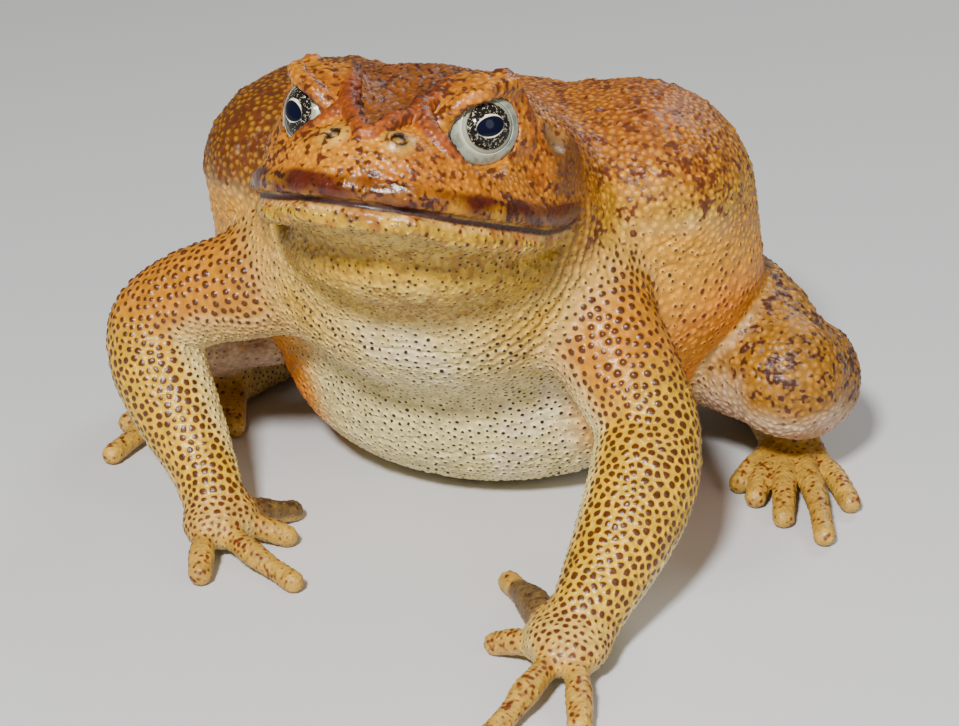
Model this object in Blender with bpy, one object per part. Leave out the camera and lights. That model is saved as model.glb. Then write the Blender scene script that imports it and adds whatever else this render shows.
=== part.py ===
# A large cane toad, sitting up on its front limbs, life size.
# It faces -Y, its left is +X, the floor is z = 0. The forms are drawn in millimetres.
import math

import bmesh
import bpy
import numpy as np

MM = 0.001
ORIGIN = np.array([0.0, 26.0, 0.0])      # the middle of the belly's flat, in the drawing
GAP = 0.3
SIDES = {"l": 1, "r": -1}

# The head's own frame: s forward, l to the toad's left, h up, from between the mouth's corners
HEAD_PITCH = math.radians(14.0)
MOUTH = np.array([1.6, -42.6, 87.7])
FORWARD = np.array([0.0, -math.cos(HEAD_PITCH), math.sin(HEAD_PITCH)])
UPWARD = np.array([0.0, math.sin(HEAD_PITCH), math.cos(HEAD_PITCH)])
LEFTWARD = np.array([1.0, 0.0, 0.0])
HEAD_AXES = np.array([LEFTWARD, -FORWARD, UPWARD]).T

SNOUT_TIP = 49.0
HALF_WIDTH = 33.0
HEAD_TOP = [(-30, 21.5), (-12, 24.5), (0, 25.2), (10, 24), (20, 22.0), (30, 19.4), (37, 16.9), (42, 14.6),
            (45, 12.2), (47.3, 8.6), (49, 5)]
HEAD_BOTTOM = [(-30, 14), (-5, 11.5), (10, 10), (25, 8.8), (38, 7.6), (44, 6.2), (47.5, 4.2), (49, 2.6)]
MOUTH_RISE = [(-30, -1.5), (-2, -1.2), (6, -2.0), (14, -2.0), (24, -0.9), (34, 0.2), (41, 1.0), (46, 2.2),
              (50, 2.6)]
MOUTH_LEAN = 0.045

EYE_RADIUS = 7.2
LID_RADIUS = 8.2
LID_OPENING, LID_END = 48.0, 105.0
GAZE_OUT, GAZE_UP, EYE_TILT = 36.0, 6.0, 19.0

# The body: centre, radii, pitch in degrees, blend with what is there already
TORSO = [((0, 18, 56), (66, 52, 40), 20, 5), ((0, -22, 70), (40, 32, 33), 35, 14),
         ((0, 26, 24), (50, 46, 27), 0, 14), ((0, 56, 36), (42, 34, 33), 20, 14),
         ((0, 74, 20), (20, 18, 20), 0, 12), ((0, -34, 88), (34, 24, 24), 14, 12)]

# The ridges of the skull as s, l, h, radius
CANTHAL_RIDGE = [(43.4, 0.9, 15.0, 1.4), (38, 4.2, 17.5, 1.6), (32, 7.2, 19.7, 1.6), (27, 8.9, 21.9, 1.6),
                 (22, 10.4, 23.8, 1.7), (14, 12.8, 25.0, 1.9), (5, 15.5, 24.2, 1.9), (-4, 18, 22.0, 1.7)]
# Round the eye: along its opening, along the gaze, across the opening, radius
BROW = [(-8.8, 3.2, 3.8, 1.5), (-4.5, 5.4, 5.8, 1.8), (0.5, 6.2, 6.6, 1.9), (5.5, 4.8, 6.7, 1.9),
        (9, 2.0, 5.9, 1.8)]
FRONT_RIDGE = [(-11.6, 2.4, 8.6, 1.4), (-12.6, 3.8, 6.8, 1.9), (-13.3, 7.9, 2.8, 2.0),
               (-12.4, 10.7, -1.0, 1.7), (-11.2, 11.6, -4.4, 1.2)]
REAR_RIDGE = [(8.2, -0.5, 7.4, 2.0), (9.8, -0.8, 3, 1.9), (10.2, -0.8, -2, 1.6), (9.4, -0.6, -6.5, 1.1)]
# The hollow of the eardrum: a ball's centre as s, l, h, and its radius
EAR = ((7.9, 33.5, 17.2), 6.0)
# Along the mouth: s, how far in from the outline, lift, radius
UPPER_LIP = [(s, 1.5, 2.0, 1.9) for s in (-3, 0, 6, 14, 22, 29, 36, 42, 46, 48.0)]
LOWER_LIP = [(-2, 3.6, -2.4, 1.2), (8, 3.3, -3.3, 1.9), (20, 3.2, -3.7, 2.2), (32, 3.2, -3.9, 2.2),
             (40, 3.2, -3.9, 2.2), (46, 3.0, -3.4, 2.0)]
GAPE = [(-2, -1.3, -0.7, 0.6), (3, -0.2, -0.9, 0.9), (14, -0.2, -1.0, 1.0), (22, -0.2, -1.0, 1.0),
        (30, -0.2, -1.0, 1.0), (38, -0.2, -1.0, 1.0), (44, -0.2, -1.0, 1.0), (48, -0.2, -1.0, 1.0),
        (49.4, -0.2, -1.0, 1.0)]
CHIN_FOLD = [(-3, 0.6, -4.6, 0.8), (4, 2.8, -6.8, 1.6), (12, 4.2, -8.4, 2.2), (22, 5.0, -9.2, 2.4),
             (30, 5.2, -9.8, 2.3), (36, 5.4, -10.0, 2.0), (41, 5.8, -10.0, 1.8)]

# The limbs: rows of x, y, z, radius
LEFT_ARM = {
    "upper_arm": [(28, -20, 68, 15), (35, -26, 58, 13.5), (44, -32, 47, 12.2), (50.5, -37, 36.5, 11.4)],
    "forearm": [(50.5, -37, 36.5, 11), (52, -47, 28.5, 11.8), (50.5, -58, 21, 10.6), (48, -68, 14.5, 8.8),
                (46, -75, 10, 7.6)],
    "hand": ((43.5, -81, 6.6), (9.0, 11.5, 6.2), 20),
    "finger_1": [(40, -79, 6.5, 3.8), (35, -70, 5.4, 3.7), (31.5, -63, 4.3, 3.6), (27.5, -57, 3.2, 2.5),
                 (23.4, -51, 2.1, 2.5)],
    "finger_2": [(40, -84, 5.5, 3.4), (36, -82.5, 4.8, 2.5), (32, -80.5, 4.0, 2.7), (27.5, -79, 2.1, 2.5)],
    "finger_3": [(42, -88, 5.5, 3.4), (41, -94, 5.2, 2.5), (39.5, -101, 4.6, 2.9), (38, -107, 3.3, 2.3),
                 (36, -115, 2.1, 2.5)],
    "finger_4": [(46.5, -88, 5.5, 3.4), (48.5, -94, 4.8, 2.5), (50, -99, 4.0, 2.8), (52, -107, 2.1, 2.5)],
}
RIGHT_ARM = {
    "upper_arm": [(-32, -20, 62, 15), (-44, -22, 56, 12.8), (-58, -22, 51, 11.5), (-68, -23, 44, 11.0)],
    "forearm": [(-68, -23, 44, 10.6), (-67, -27, 35, 11.0), (-60, -32, 24, 9.6), (-53.5, -37, 16, 7.8),
                (-49, -42, 10.5, 7.0)],
    "hand": ((-46, -46, 6.4), (7.5, 9.5, 6.0), -20),
    "finger_1": [(-43, -43, 6.0, 3.5), (-39.5, -37, 4.8, 3.4), (-37, -33, 3.4, 2.6), (-34.5, -29, 2.1, 2.5)],
    "finger_2": [(-42, -46, 5.2, 3.3), (-39, -44.5, 4.7, 2.5), (-36, -43, 3.9, 2.7), (-31.5, -42, 2.1, 2.5)],
    "finger_3": [(-43, -50, 5.5, 3.4), (-39.5, -53, 5, 2.5), (-34.5, -56.5, 4.4, 2.8), (-29, -59.5, 3, 2.3),
                 (-23, -63, 2.1, 2.5)],
    "finger_4": [(-47, -52, 5.5, 3.4), (-46.5, -56, 4.8, 2.6), (-45.5, -60, 3.8, 2.9), (-44, -65, 2.1, 2.5)],
}
LEG = {
    "thigh": [(20, 62, 36, 20), (38, 50, 34, 21.5), (58, 32, 33, 19), (73, 15, 31, 14)],
    "shank": [(74, 15, 29, 13), (75, 30, 24, 14.5), (67, 54, 18, 12), (55, 74, 12, 8.5)],
    "foot": [(55, 75, 11, 8.3), (61, 60, 8, 7), (68, 44, 7, 6.8), (73, 31, 6, 6.4)],
    "toe_1": [(70, 31, 5, 3.4), (67.5, 24, 4.2, 2.5), (66, 19, 3.6, 2.7), (64, 13, 2.1, 2.5)],
    "toe_2": [(71, 29, 5, 3.4), (70, 21, 4.4, 2.4), (69.3, 14, 3.8, 2.7), (69, 6, 2.1, 2.5)],
    "toe_3": [(73, 28, 5, 3.4), (74, 19, 4.6, 2.5), (75.3, 9, 4.2, 2.8), (77, -3, 2.1, 2.5)],
    "toe_4": [(76, 29, 5, 3.5), (79, 20, 4.7, 2.6), (82, 10, 4.4, 2.9), (85, 0, 3.4, 2.4),
              (87.5, -10, 2.1, 2.5)],
    "toe_5": [(78, 32, 5, 3.3), (82, 25, 4.3, 2.4), (86, 19, 3.6, 2.7), (91, 9, 2.1, 2.5)],
}
DIGIT_SIDES, LIMB_SIDES = 9, 14
DIGIT_STEP, LIMB_STEP = 3.0, 6.5
TRUNK_GRID = 1.2
PLAIN_FROM = -34.0       # behind this the trunk has no fine features
TRUNK_LOW, TRUNK_HIGH = (-72, -98, -6), (72, 98, 124)
EVEN_TRIANGLES, TRUNK_TRIANGLES = 9500, 4700

SKIN_COLOUR = (0.33, 0.17, 0.055, 1.0)
EYE_COLOUR = (0.012, 0.011, 0.012, 1.0)
LID_COLOUR = (0.46, 0.45, 0.36, 1.0)


# Small vector tools
def unit(v):
    return np.asarray(v, float) / np.linalg.norm(v)


def turned(pitch=0.0, yaw=0.0, roll=0.0):
    """Columns are a form's own axes: pitch lifts the -y end, yaw turns about z, roll about y; degrees."""
    p, w, r = (math.radians(a) for a in (pitch, yaw, roll))
    about_x = np.array([[1, 0, 0], [0, math.cos(p), math.sin(p)], [0, -math.sin(p), math.cos(p)]])
    about_z = np.array([[math.cos(w), -math.sin(w), 0], [math.sin(w), math.cos(w), 0], [0, 0, 1]])
    about_y = np.array([[math.cos(r), 0, math.sin(r)], [0, 1, 0], [-math.sin(r), 0, math.cos(r)]])
    return about_z @ about_x @ about_y


def spline(rows, per):
    """A smooth line through rows of numbers, cut in `per` steps between neighbours."""
    p = np.asarray(rows, float)
    p = np.vstack([2 * p[0] - p[1], p, 2 * p[-1] - p[-2]])
    out = []
    for a, b, c, d in zip(p, p[1:], p[2:], p[3:]):
        for t in np.arange(per) / per:
            square = (2 * a - 5 * b + 4 * c - d) * t * t
            out.append(0.5 * (2 * b + (c - a) * t + square + (3 * b - a - 3 * c + d) * t ** 3))
    out.append(p[-2])
    return np.array(out)


def smooth_table(s, table):
    rows = np.array(table, float)
    fine = np.linspace(rows[0, 0], rows[-1, 0], 160)
    weights = np.hanning(15)
    values = np.pad(np.interp(fine, rows[:, 0], rows[:, 1]), 7, mode="edge")
    return np.interp(s, fine, np.convolve(values, weights / weights.sum(), mode="valid"))


# Forms as signed distances: each is low corner, high corner, distance(x, y, z)
def ball(centre, radii, axes=None):
    centre = np.asarray(centre, float)
    radii = np.asarray(radii, float) * np.ones(3)
    axes = np.eye(3) if axes is None else axes
    reach = np.sqrt(((axes * radii) ** 2).sum(1))

    def distance(x, y, z):
        near = slope = 0
        for axis, radius in zip(axes.T, radii):
            along = (x - centre[0]) * axis[0] + (y - centre[1]) * axis[1] + (z - centre[2]) * axis[2]
            near = near + (along / radius) ** 2
            slope = slope + (along / radius ** 2) ** 2
        near = np.sqrt(near)
        return near * (near - 1) / np.maximum(np.sqrt(slope), 1e-6)
    return centre - reach, centre + reach, distance


def rod(a, b, start_radius, end_radius):
    a, b = np.asarray(a, float), np.asarray(b, float)
    line = b - a

    def distance(x, y, z):
        t = ((x - a[0]) * line[0] + (y - a[1]) * line[1] + (z - a[2]) * line[2]) / (line @ line)
        t = np.clip(t, 0, 1)
        dx, dy, dz = x - a[0] - t * line[0], y - a[1] - t * line[1], z - a[2] - t * line[2]
        return np.sqrt(dx * dx + dy * dy + dz * dz) - (start_radius + (end_radius - start_radius) * t)
    low, high = np.minimum(a - start_radius, b - end_radius), np.maximum(a + start_radius, b + end_radius)
    return low, high, distance


def chain(rows, per=5):
    """Rods along a smooth line through x, y, z, radius rows, as one form."""
    points = spline(rows, per)
    rods = [rod(p[:3], q[:3], p[3], q[3]) for p, q in zip(points, points[1:])]

    def distance(x, y, z):
        best = rods[0][2](x, y, z)
        for one in rods[1:]:
            best = np.minimum(best, one[2](x, y, z))
        return best
    return np.min([r[0] for r in rods], 0), np.max([r[1] for r in rods], 0), distance


class Field:
    """Signed distance to the form built so far, on a regular grid."""

    def __init__(self, low, high, step):
        self.low, self.step = np.array(low, float), step
        count = np.ceil((np.array(high) - self.low) / step).astype(int) + 1
        self.value = np.full(count, 40.0, np.float32)

    def near(self, form, blend):
        low, high, distance = form
        margin = blend + 3
        count = self.value.shape
        start = np.clip(np.floor((low - margin - self.low) / self.step).astype(int), 0, count)
        stop = np.clip(np.ceil((high + margin - self.low) / self.step).astype(int) + 1, 0, count)
        axes = [(low + self.step * np.arange(i, j)).astype(np.float32)
                for low, i, j in zip(self.low, start, stop)]
        x, y, z = axes[0][:, None, None], axes[1][None, :, None], axes[2][None, None, :]
        return tuple(slice(i, j) for i, j in zip(start, stop)), distance(x, y, z)

    def add(self, form, blend):
        where, new = self.near(form, blend)
        old = self.value[where]
        mix = np.clip(0.5 + 0.5 * (new - old) / blend, 0, 1)
        self.value[where] = new + (old - new) * mix - blend * mix * (1 - mix)

    def cut(self, form, blend):
        where, new = self.near(form, blend)
        old = self.value[where]
        mix = np.clip(0.5 + 0.5 * (new + old) / blend, 0, 1)
        self.value[where] = (old + new) * mix - new + blend * mix * (1 - mix)


# The head
def head_point(s, l, h):
    return MOUTH + s * FORWARD + l * LEFTWARD + h * UPWARD


def head_turned(pitch=0.0, yaw=0.0):
    return HEAD_AXES @ turned(pitch, yaw)


def outline(s):
    """Half the head's width at the mouth, s ahead of the mouth's corners."""
    ahead = np.clip((s + 2) / (SNOUT_TIP + 2), 0, 1)
    return HALF_WIDTH * np.sqrt(np.maximum(1 - ahead ** 2.3, 0)) - 0.011 * np.minimum(s + 2, 0) ** 2


def mouth_rise(s, l):
    return smooth_table(s, MOUTH_RISE) - MOUTH_LEAN * l


def head_mass(step):
    def distance(x, y, z):
        s = (y - MOUTH[1]) * FORWARD[1] + (z - MOUTH[2]) * FORWARD[2]
        h = (y - MOUTH[1]) * UPWARD[1] + (z - MOUTH[2]) * UPWARD[2]
        l = x - MOUTH[0]
        h = h - mouth_rise(s, l)
        width = np.maximum(outline(s), 2.0)
        blunt = 0.5 * np.clip((s - 26) / 14, 0, 1)
        above = (np.abs(l) / width) ** (1.9 + blunt)
        above = above + (np.maximum(h, 0) / smooth_table(s, HEAD_TOP)) ** (1.7 + blunt)
        jaw = np.maximum(width - 2.4 * np.clip((s + 6) / 8, 0, 1), 1.5)
        below = (np.abs(l) / jaw) ** 2.2 + (np.maximum(-h, 0) / smooth_table(s, HEAD_BOTTOM)) ** 2.0
        ratio = np.where(h > 0, above ** (0.55 - 0.2 * blunt), below ** 0.47)
        value = (np.maximum(ratio, 1 + (s - SNOUT_TIP) / 12) - 1) * 20
        slope = np.gradient(value, step)
        return value / np.maximum(np.sqrt(sum(g * g for g in slope)), 0.35)
    return np.array([-40.0, -100, 60]), np.array([40.0, -8, 125]), distance


def nostril(side):
    return head_point(43.6, 6.9 * side, 14.6)


def eye_centre(side):
    return head_point(21.5, 16.9 * side, 16.6)


def eye_axes(side):
    """Columns: along the eye's opening to its outer corner, the gaze, up across the opening."""
    out, up, tilt = math.radians(GAZE_OUT), math.radians(GAZE_UP), math.radians(EYE_TILT)
    level = math.cos(out) * FORWARD + math.sin(out) * side * LEFTWARD
    gaze = math.cos(up) * level + math.sin(up) * UPWARD
    along = unit(side * LEFTWARD * math.cos(out) - FORWARD * math.sin(out))
    rise = unit(np.cross(along, gaze)) * -side
    rise = rise if rise @ UPWARD > 0 else -rise
    return np.array([along * math.cos(tilt) + rise * math.sin(tilt), gaze,
                     rise * math.cos(tilt) - along * math.sin(tilt)]).T


def eye_point(side, along, ahead, up):
    return eye_centre(side) + eye_axes(side) @ np.array([along, ahead, up])


def eye_chain(side, rows):
    return chain([(*eye_point(side, *row[:3]), row[3]) for row in rows])


def mouth_chain(rows):
    """A rod along the mouth's line from corner to corner."""
    sides = [[(s, side * (outline(s) - inset), lift, r) for s, inset, lift, r in rows] for side in (-1, 1)]
    corner_to_corner = sides[0] + sides[1][::-1]
    return chain([(*head_point(s, l, mouth_rise(s, l) + lift), r) for s, l, lift, r in corner_to_corner])


def build_trunk():
    field = Field(TRUNK_LOW, TRUNK_HIGH, TRUNK_GRID)
    for centre, radii, pitch, blend in TORSO:
        field.add(ball(centre, radii, turned(pitch)), blend)
    for side in SIDES.values():
        field.add(ball((41 * side, 13, 79), (23, 34, 19), turned(6, 10 * side, 25 * side)), 10)
    field.add(head_mass(TRUNK_GRID), 8)
    field.add(ball(head_point(-3, 0, -12), (27, 30, 12), head_turned(-4)), 7)
    field.add(ball(head_point(4, 0, 14), (25, 26, 11), head_turned()), 5)
    for side in SIDES.values():
        field.add(ball(head_point(2, 25 * side, 9), (7, 12, 9), head_turned()), 6)
        field.add(chain([(*head_point(s, l * side, h), r) for s, l, h, r in CANTHAL_RIDGE]), 0.9)
        field.add(ball(eye_point(side, 2, -6.5, 2.6), (11.0, 8.0, 7.0), eye_axes(side)), 3.0)
        field.add(ball(eye_point(side, 0, -2.2, 4.8), (10.6, 7.8, 5.8), eye_axes(side)), 2.0)
        field.add(ball(head_point(8.5, 17.5 * side, 14.5), (8.5, 7.5, 9.0), head_turned(-8)), 4.0)
        field.add(eye_chain(side, BROW), 1.4)
        field.add(ball(eye_point(side, 0, -1.0, -1.5), (10.0, 6.4, 9.5), eye_axes(side)), 3.0)
        field.add(eye_chain(side, FRONT_RIDGE), 1.2)
        field.add(eye_chain(side, REAR_RIDGE), 2.4)
    field.cut(ball(head_point(26, 0, 26.6), (7.0, 16, 6.6), head_turned(-13)), 2.4)
    field.add(mouth_chain(UPPER_LIP), 2.6)
    field.add(mouth_chain(LOWER_LIP), 3.0)
    field.cut(mouth_chain(CHIN_FOLD), 3.0)
    field.cut(mouth_chain(GAPE), 0.6)
    for side in SIDES.values():
        (ear_s, ear_l, ear_h), ear_radius = EAR
        field.cut(ball(head_point(ear_s, ear_l * side, ear_h), ear_radius), 0.5)
        field.cut(ball(eye_centre(side), LID_RADIUS + GAP), 0.6)
        field.cut(ball(eye_point(side, -1.2, 8.0, -2.2), (9.3, 7.5, 7.0), eye_axes(side)), 0.6)
        field.add(ball(head_point(42.2, 5.7 * side, 13.0), (3.2, 3.1, 2.9), head_turned(20)), 0.9)
        field.cut(ball(nostril(side), (1.8, 2.0, 1.15), head_turned(20, 30 * side)), 0.4)
    return field


# From the grid to a closed mesh, by the six tetrahedra of each cell
CORNERS = np.array([(i, j, k) for i in (0, 1) for j in (0, 1) for k in (0, 1)])
AXIS_ORDERS = [(0, 1, 2), (0, 2, 1), (1, 0, 2), (1, 2, 0), (2, 0, 1), (2, 1, 0)]


def field_mesh(field):
    value = field.value
    shape = np.array(value.shape)
    inside = value < 0
    cell = tuple(slice(0, n - 1) for n in shape)
    total = np.zeros(shape - 1, np.uint8)
    for corner in CORNERS:
        total += inside[tuple(slice(c, n - 1 + c) for c, n in zip(corner, shape))]
    cells = np.argwhere((total > 0) & (total < 8))
    strides = np.array([shape[1] * shape[2], shape[2], 1])
    flat = value.ravel()
    firsts, seconds, outward = [], [], []
    for order in AXIS_ORDERS:
        path = np.zeros((4, 3), int)
        for n, axis in enumerate(order):
            path[n + 1] = path[n]
            path[n + 1][axis] = 1
        ids = (cells[:, None, :] + path[None]) @ strides
        low = flat[ids] < 0
        for pattern in range(1, 15):
            wanted = np.array([bool(pattern >> n & 1) for n in range(4)])
            hit = ids[(low == wanted).all(1)]
            if not len(hit):
                continue
            within, without = np.flatnonzero(wanted), np.flatnonzero(~wanted)
            away = path[without].mean(0) - path[within].mean(0)
            edges = [(i, o) for i in within for o in without]
            if len(edges) == 3:
                faces = [edges]
            else:
                faces = [[edges[0], edges[1], edges[3]], [edges[0], edges[3], edges[2]]]
            for face in faces:
                firsts.append(np.stack([hit[:, i] for i, _ in face], 1))
                seconds.append(np.stack([hit[:, o] for _, o in face], 1))
                outward.append(np.tile(away, (len(hit), 1)))
    first, second, outward = np.vstack(firsts), np.vstack(seconds), np.vstack(outward)
    low, high = np.minimum(first, second), np.maximum(first, second)
    keys, where = np.unique(low.astype(np.int64) * flat.size + high, return_inverse=True)
    a, b = keys // flat.size, keys % flat.size
    share = flat[a] / (flat[a] - flat[b])
    share = np.clip(share, 0.06, 0.94)[:, None]
    spot_a = np.stack(np.unravel_index(a, value.shape), 1)
    spot_b = np.stack(np.unravel_index(b, value.shape), 1)
    points = field.low + field.step * (spot_a + share * (spot_b - spot_a))
    faces = where.reshape(-1, 3)
    corner = points[faces]
    normal = np.cross(corner[:, 1] - corner[:, 0], corner[:, 2] - corner[:, 0])
    wrong = (normal * outward).sum(1) < 0
    faces[wrong] = faces[wrong][:, ::-1]
    return points, faces


# Objects
def to_object(name, points, faces, colour=SKIN_COLOUR):
    mesh = bpy.data.meshes.new(name)
    mesh.from_pydata(((np.asarray(points) - ORIGIN) * MM).tolist(), [], [tuple(map(int, f)) for f in faces])
    mesh.update()
    mesh.shade_smooth()
    piece = bpy.data.objects.new(name, mesh)
    bpy.context.scene.collection.objects.link(piece)
    material = bpy.data.materials.new(name)
    material.use_nodes = True
    shader = material.node_tree.nodes["Principled BSDF"]
    shader.inputs["Base Color"].default_value = colour
    shader.inputs["Roughness"].default_value = 0.4
    mesh.materials.append(material)
    return piece


def as_cutter(piece):
    piece.hide_render = True
    piece.display_type = "WIRE"
    return piece


def apply_modifiers(piece):
    """Keep the evaluated mesh in place of the modifiers."""
    graph = bpy.context.evaluated_depsgraph_get()
    graph.update()
    mesh = bpy.data.meshes.new_from_object(piece.evaluated_get(graph))
    piece.modifiers.clear()
    piece.data = mesh


def remove_with(piece, cutter, solver="EXACT"):
    modifier = piece.modifiers.new("cut", "BOOLEAN")
    modifier.operation = "DIFFERENCE"
    modifier.solver = solver
    modifier.object = cutter
    apply_modifiers(piece)


def islands(mesh_bm):
    """The mesh's connected surfaces, as lists of faces."""
    left = set(mesh_bm.faces)
    out = []
    while left:
        stack = [left.pop()]
        found = list(stack)
        while stack:
            for edge in stack.pop().edges:
                for face in edge.link_faces:
                    if face in left:
                        left.remove(face)
                        stack.append(face)
                        found.append(face)
        out.append(found)
    return out


def keep_largest(piece):
    """Drop the scraps a cut leaves, and triangulate."""
    bm = bmesh.new()
    bm.from_mesh(piece.data)
    groups = sorted(islands(bm), key=lambda faces: sum(f.calc_area() for f in faces))
    for scrap in groups[:-1]:
        bmesh.ops.delete(bm, geom=scrap, context="FACES")
    bmesh.ops.dissolve_degenerate(bm, dist=1e-6, edges=bm.edges)
    bmesh.ops.triangulate(bm, faces=bm.faces)
    bm.to_mesh(piece.data)
    bm.free()


def thin_out(piece, triangles, group=""):
    """Collapse edges until about that many triangles are left, in one vertex group or everywhere."""
    modifier = piece.modifiers.new("thin", "DECIMATE")
    modifier.ratio = triangles / len(piece.data.polygons)
    modifier.vertex_group = group
    apply_modifiers(piece)


def offset_copy(piece, name, distance):
    """A cutter: the piece's skin moved out along its normals."""
    mesh = piece.data.copy()
    copy = bpy.data.objects.new(name, mesh)
    bpy.context.scene.collection.objects.link(copy)
    bm = bmesh.new()
    bm.from_mesh(mesh)
    bm.normal_update()
    moves = [vertex.normal * (distance * MM * vertex.calc_shell_factor()) for vertex in bm.verts]
    for vertex, move in zip(bm.verts, moves):
        vertex.co += move
    bm.to_mesh(mesh)
    bm.free()
    return as_cutter(copy)


def slab(name, centre, across, side, up, half, thickness):
    """A thin plate, for parting two nodes."""
    axes = np.array([across, side, up])
    half = np.array([thickness / 2, half[0], half[1]])
    points = [np.asarray(centre) + (np.array(c) * 2 - 1) * half @ axes for c in CORNERS]
    faces = [(0, 1, 3, 2), (4, 6, 7, 5), (0, 4, 5, 1), (2, 3, 7, 6), (0, 2, 6, 4), (1, 5, 7, 3)]
    return as_cutter(to_object(name, points, faces))


def tube(name, rows, sides, step):
    """A round limb along a smooth line through x, y, z, radius rows, with rounded ends."""
    fine = spline(rows, 12)
    lengths = np.concatenate([[0], np.cumsum(np.linalg.norm(np.diff(fine[:, :3], axis=0), axis=1))])
    count = max(3, round(lengths[-1] / step) + 1)
    at = np.linspace(0, lengths[-1], count)
    line = np.stack([np.interp(at, lengths, fine[:, k]) for k in range(4)], 1)
    tangent = np.gradient(line[:, :3], axis=0)
    tangent /= np.linalg.norm(tangent, axis=1)[:, None]
    rings = []
    cap = (75, 50, 25)
    for angle in cap:
        shift = math.sin(math.radians(angle)) * line[0, 3]
        radius = math.cos(math.radians(angle)) * line[0, 3]
        rings.append((line[0, :3] - tangent[0] * shift, radius, tangent[0]))
    for spot, direction in zip(line, tangent):
        rings.append((spot[:3], spot[3], direction))
    for angle in reversed(cap):
        shift = math.sin(math.radians(angle)) * line[-1, 3]
        radius = math.cos(math.radians(angle)) * line[-1, 3]
        rings.append((line[-1, :3] + tangent[-1] * shift, radius, tangent[-1]))
    points = [line[0, :3] - tangent[0] * line[0, 3]]
    u = unit(np.cross(tangent[0], [0.12, 0.31, 1.0]))
    for centre, radius, direction in rings:
        u = unit(u - direction * (u @ direction))
        v = np.cross(direction, u)
        for n in range(sides):
            angle = 2 * math.pi * n / sides
            points.append(centre + radius * (math.cos(angle) * u + math.sin(angle) * v))
    points.append(line[-1, :3] + tangent[-1] * line[-1, 3])
    faces = []
    last = len(points) - 1
    for n in range(sides):
        m = (n + 1) % sides
        faces.append((0, 1 + m, 1 + n))
        for ring in range(len(rings) - 1):
            base = 1 + ring * sides
            faces.append((base + n, base + m, base + sides + m, base + sides + n))
        base = 1 + (len(rings) - 1) * sides
        faces.append((base + n, base + m, last))
    return to_object(name, points, faces)


def ellipsoid(name, centre, radii, axes, colour=SKIN_COLOUR, segments=24, rings=12):
    bm = bmesh.new()
    bmesh.ops.create_uvsphere(bm, u_segments=segments, v_segments=rings, radius=1.0)
    points = [np.asarray(centre) + axes @ (np.array(v.co) * radii) for v in bm.verts]
    faces = [[v.index for v in f.verts] for f in bm.faces]
    bm.free()
    return to_object(name, points, faces, colour)


def lid_ring(name, side):
    """The bare lid round the eyeball: a shell with an opening at the front."""
    inner, outer = EYE_RADIUS + GAP, LID_RADIUS
    axes, centre, segments = eye_axes(side), eye_centre(side), 24
    angles = np.radians(np.linspace(LID_OPENING, LID_END, 5))
    profile = [(outer, a) for a in angles] + [(inner, a) for a in angles[::-1]]
    points, faces = [], []
    for n in range(segments):
        turn = 2 * math.pi * n / segments * side
        for radius, angle in profile:
            ring = radius * math.sin(angle)
            local = np.array([ring * math.cos(turn), radius * math.cos(angle), ring * math.sin(turn)])
            points.append(centre + axes @ local)
    count = len(profile)
    for n in range(segments):
        for k in range(count):
            a, b = n * count + k, n * count + (k + 1) % count
            c, d = (n + 1) % segments * count + (k + 1) % count, (n + 1) % segments * count + k
            faces.append((a, b, c, d))
    return to_object(name, points, faces, LID_COLOUR)


def fix_normals(piece):
    bm = bmesh.new()
    bm.from_mesh(piece.data)
    bmesh.ops.recalc_face_normals(bm, faces=bm.faces)
    bm.to_mesh(piece.data)
    bm.free()


def mirrored(rows, side):
    return [(x * side, y, z, r) for x, y, z, r in rows]


for old in list(bpy.data.objects):
    bpy.data.objects.remove(old, do_unlink=True)

FLOOR = slab("floor_cutter", (0, 0, -10), (0, 0, 1), (1, 0, 0), (0, 1, 0), (150, 150), 20)

# The trunk, parted at the neck into head and torso
trunk = to_object("trunk", *field_mesh(build_trunk()))
thin_out(trunk, EVEN_TRIANGLES)
plain = trunk.vertex_groups.new(name="plain")
behind = [v.index for v in trunk.data.vertices if v.co.y / MM + ORIGIN[1] > PLAIN_FROM]
plain.add(behind, 1.0, "REPLACE")
thin_out(trunk, TRUNK_TRIANGLES, "plain")
keep_largest(trunk)
trunk_skin = offset_copy(trunk, "trunk_skin", GAP)

NECK_TOP, NECK_BOTTOM = head_point(-8, 0, 27), head_point(8, 0, -26)
neck_up = unit(NECK_TOP - NECK_BOTTOM)
neck_across = np.cross(LEFTWARD, neck_up)
neck = slab("neck_cutter", (NECK_TOP + NECK_BOTTOM) / 2, neck_across, LEFTWARD, neck_up, (70, 42), GAP)
remove_with(trunk, neck)
remove_with(trunk, FLOOR)

bm_trunk = bmesh.new()
bm_trunk.from_mesh(trunk.data)
halves = sorted(islands(bm_trunk), key=lambda faces: sum(f.calc_area() for f in faces))[-2:]
halves.sort(key=lambda faces: np.mean([f.calc_center_median().y for f in faces]))
for node, faces in zip(("head", "torso"), halves):
    verts = {}
    for face in faces:
        for vert in face.verts:
            verts.setdefault(vert, len(verts))
    spots = [np.array(v.co) / MM + ORIGIN for v in verts]
    part = to_object(node, spots, [[verts[v] for v in f.verts] for f in faces])
    keep_largest(part)
bm_trunk.free()

for tag, side in SIDES.items():
    radii = np.ones(3) * EYE_RADIUS
    eye = ellipsoid("eye_" + tag, eye_centre(side), radii, eye_axes(side) @ turned(90), EYE_COLOUR)
    fix_normals(eye)
    fix_normals(lid_ring("eyelid_" + tag, side))



# The limbs: each segment is hollowed where it meets the one before it
def fitted(piece, before):
    """Rests the piece on the floor and against those before it; gives back its skin."""
    skin = offset_copy(piece, piece.name + "_skin", GAP)
    for cutter in before:
        remove_with(piece, cutter)
    remove_with(piece, FLOOR)
    keep_largest(piece)
    return skin


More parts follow.
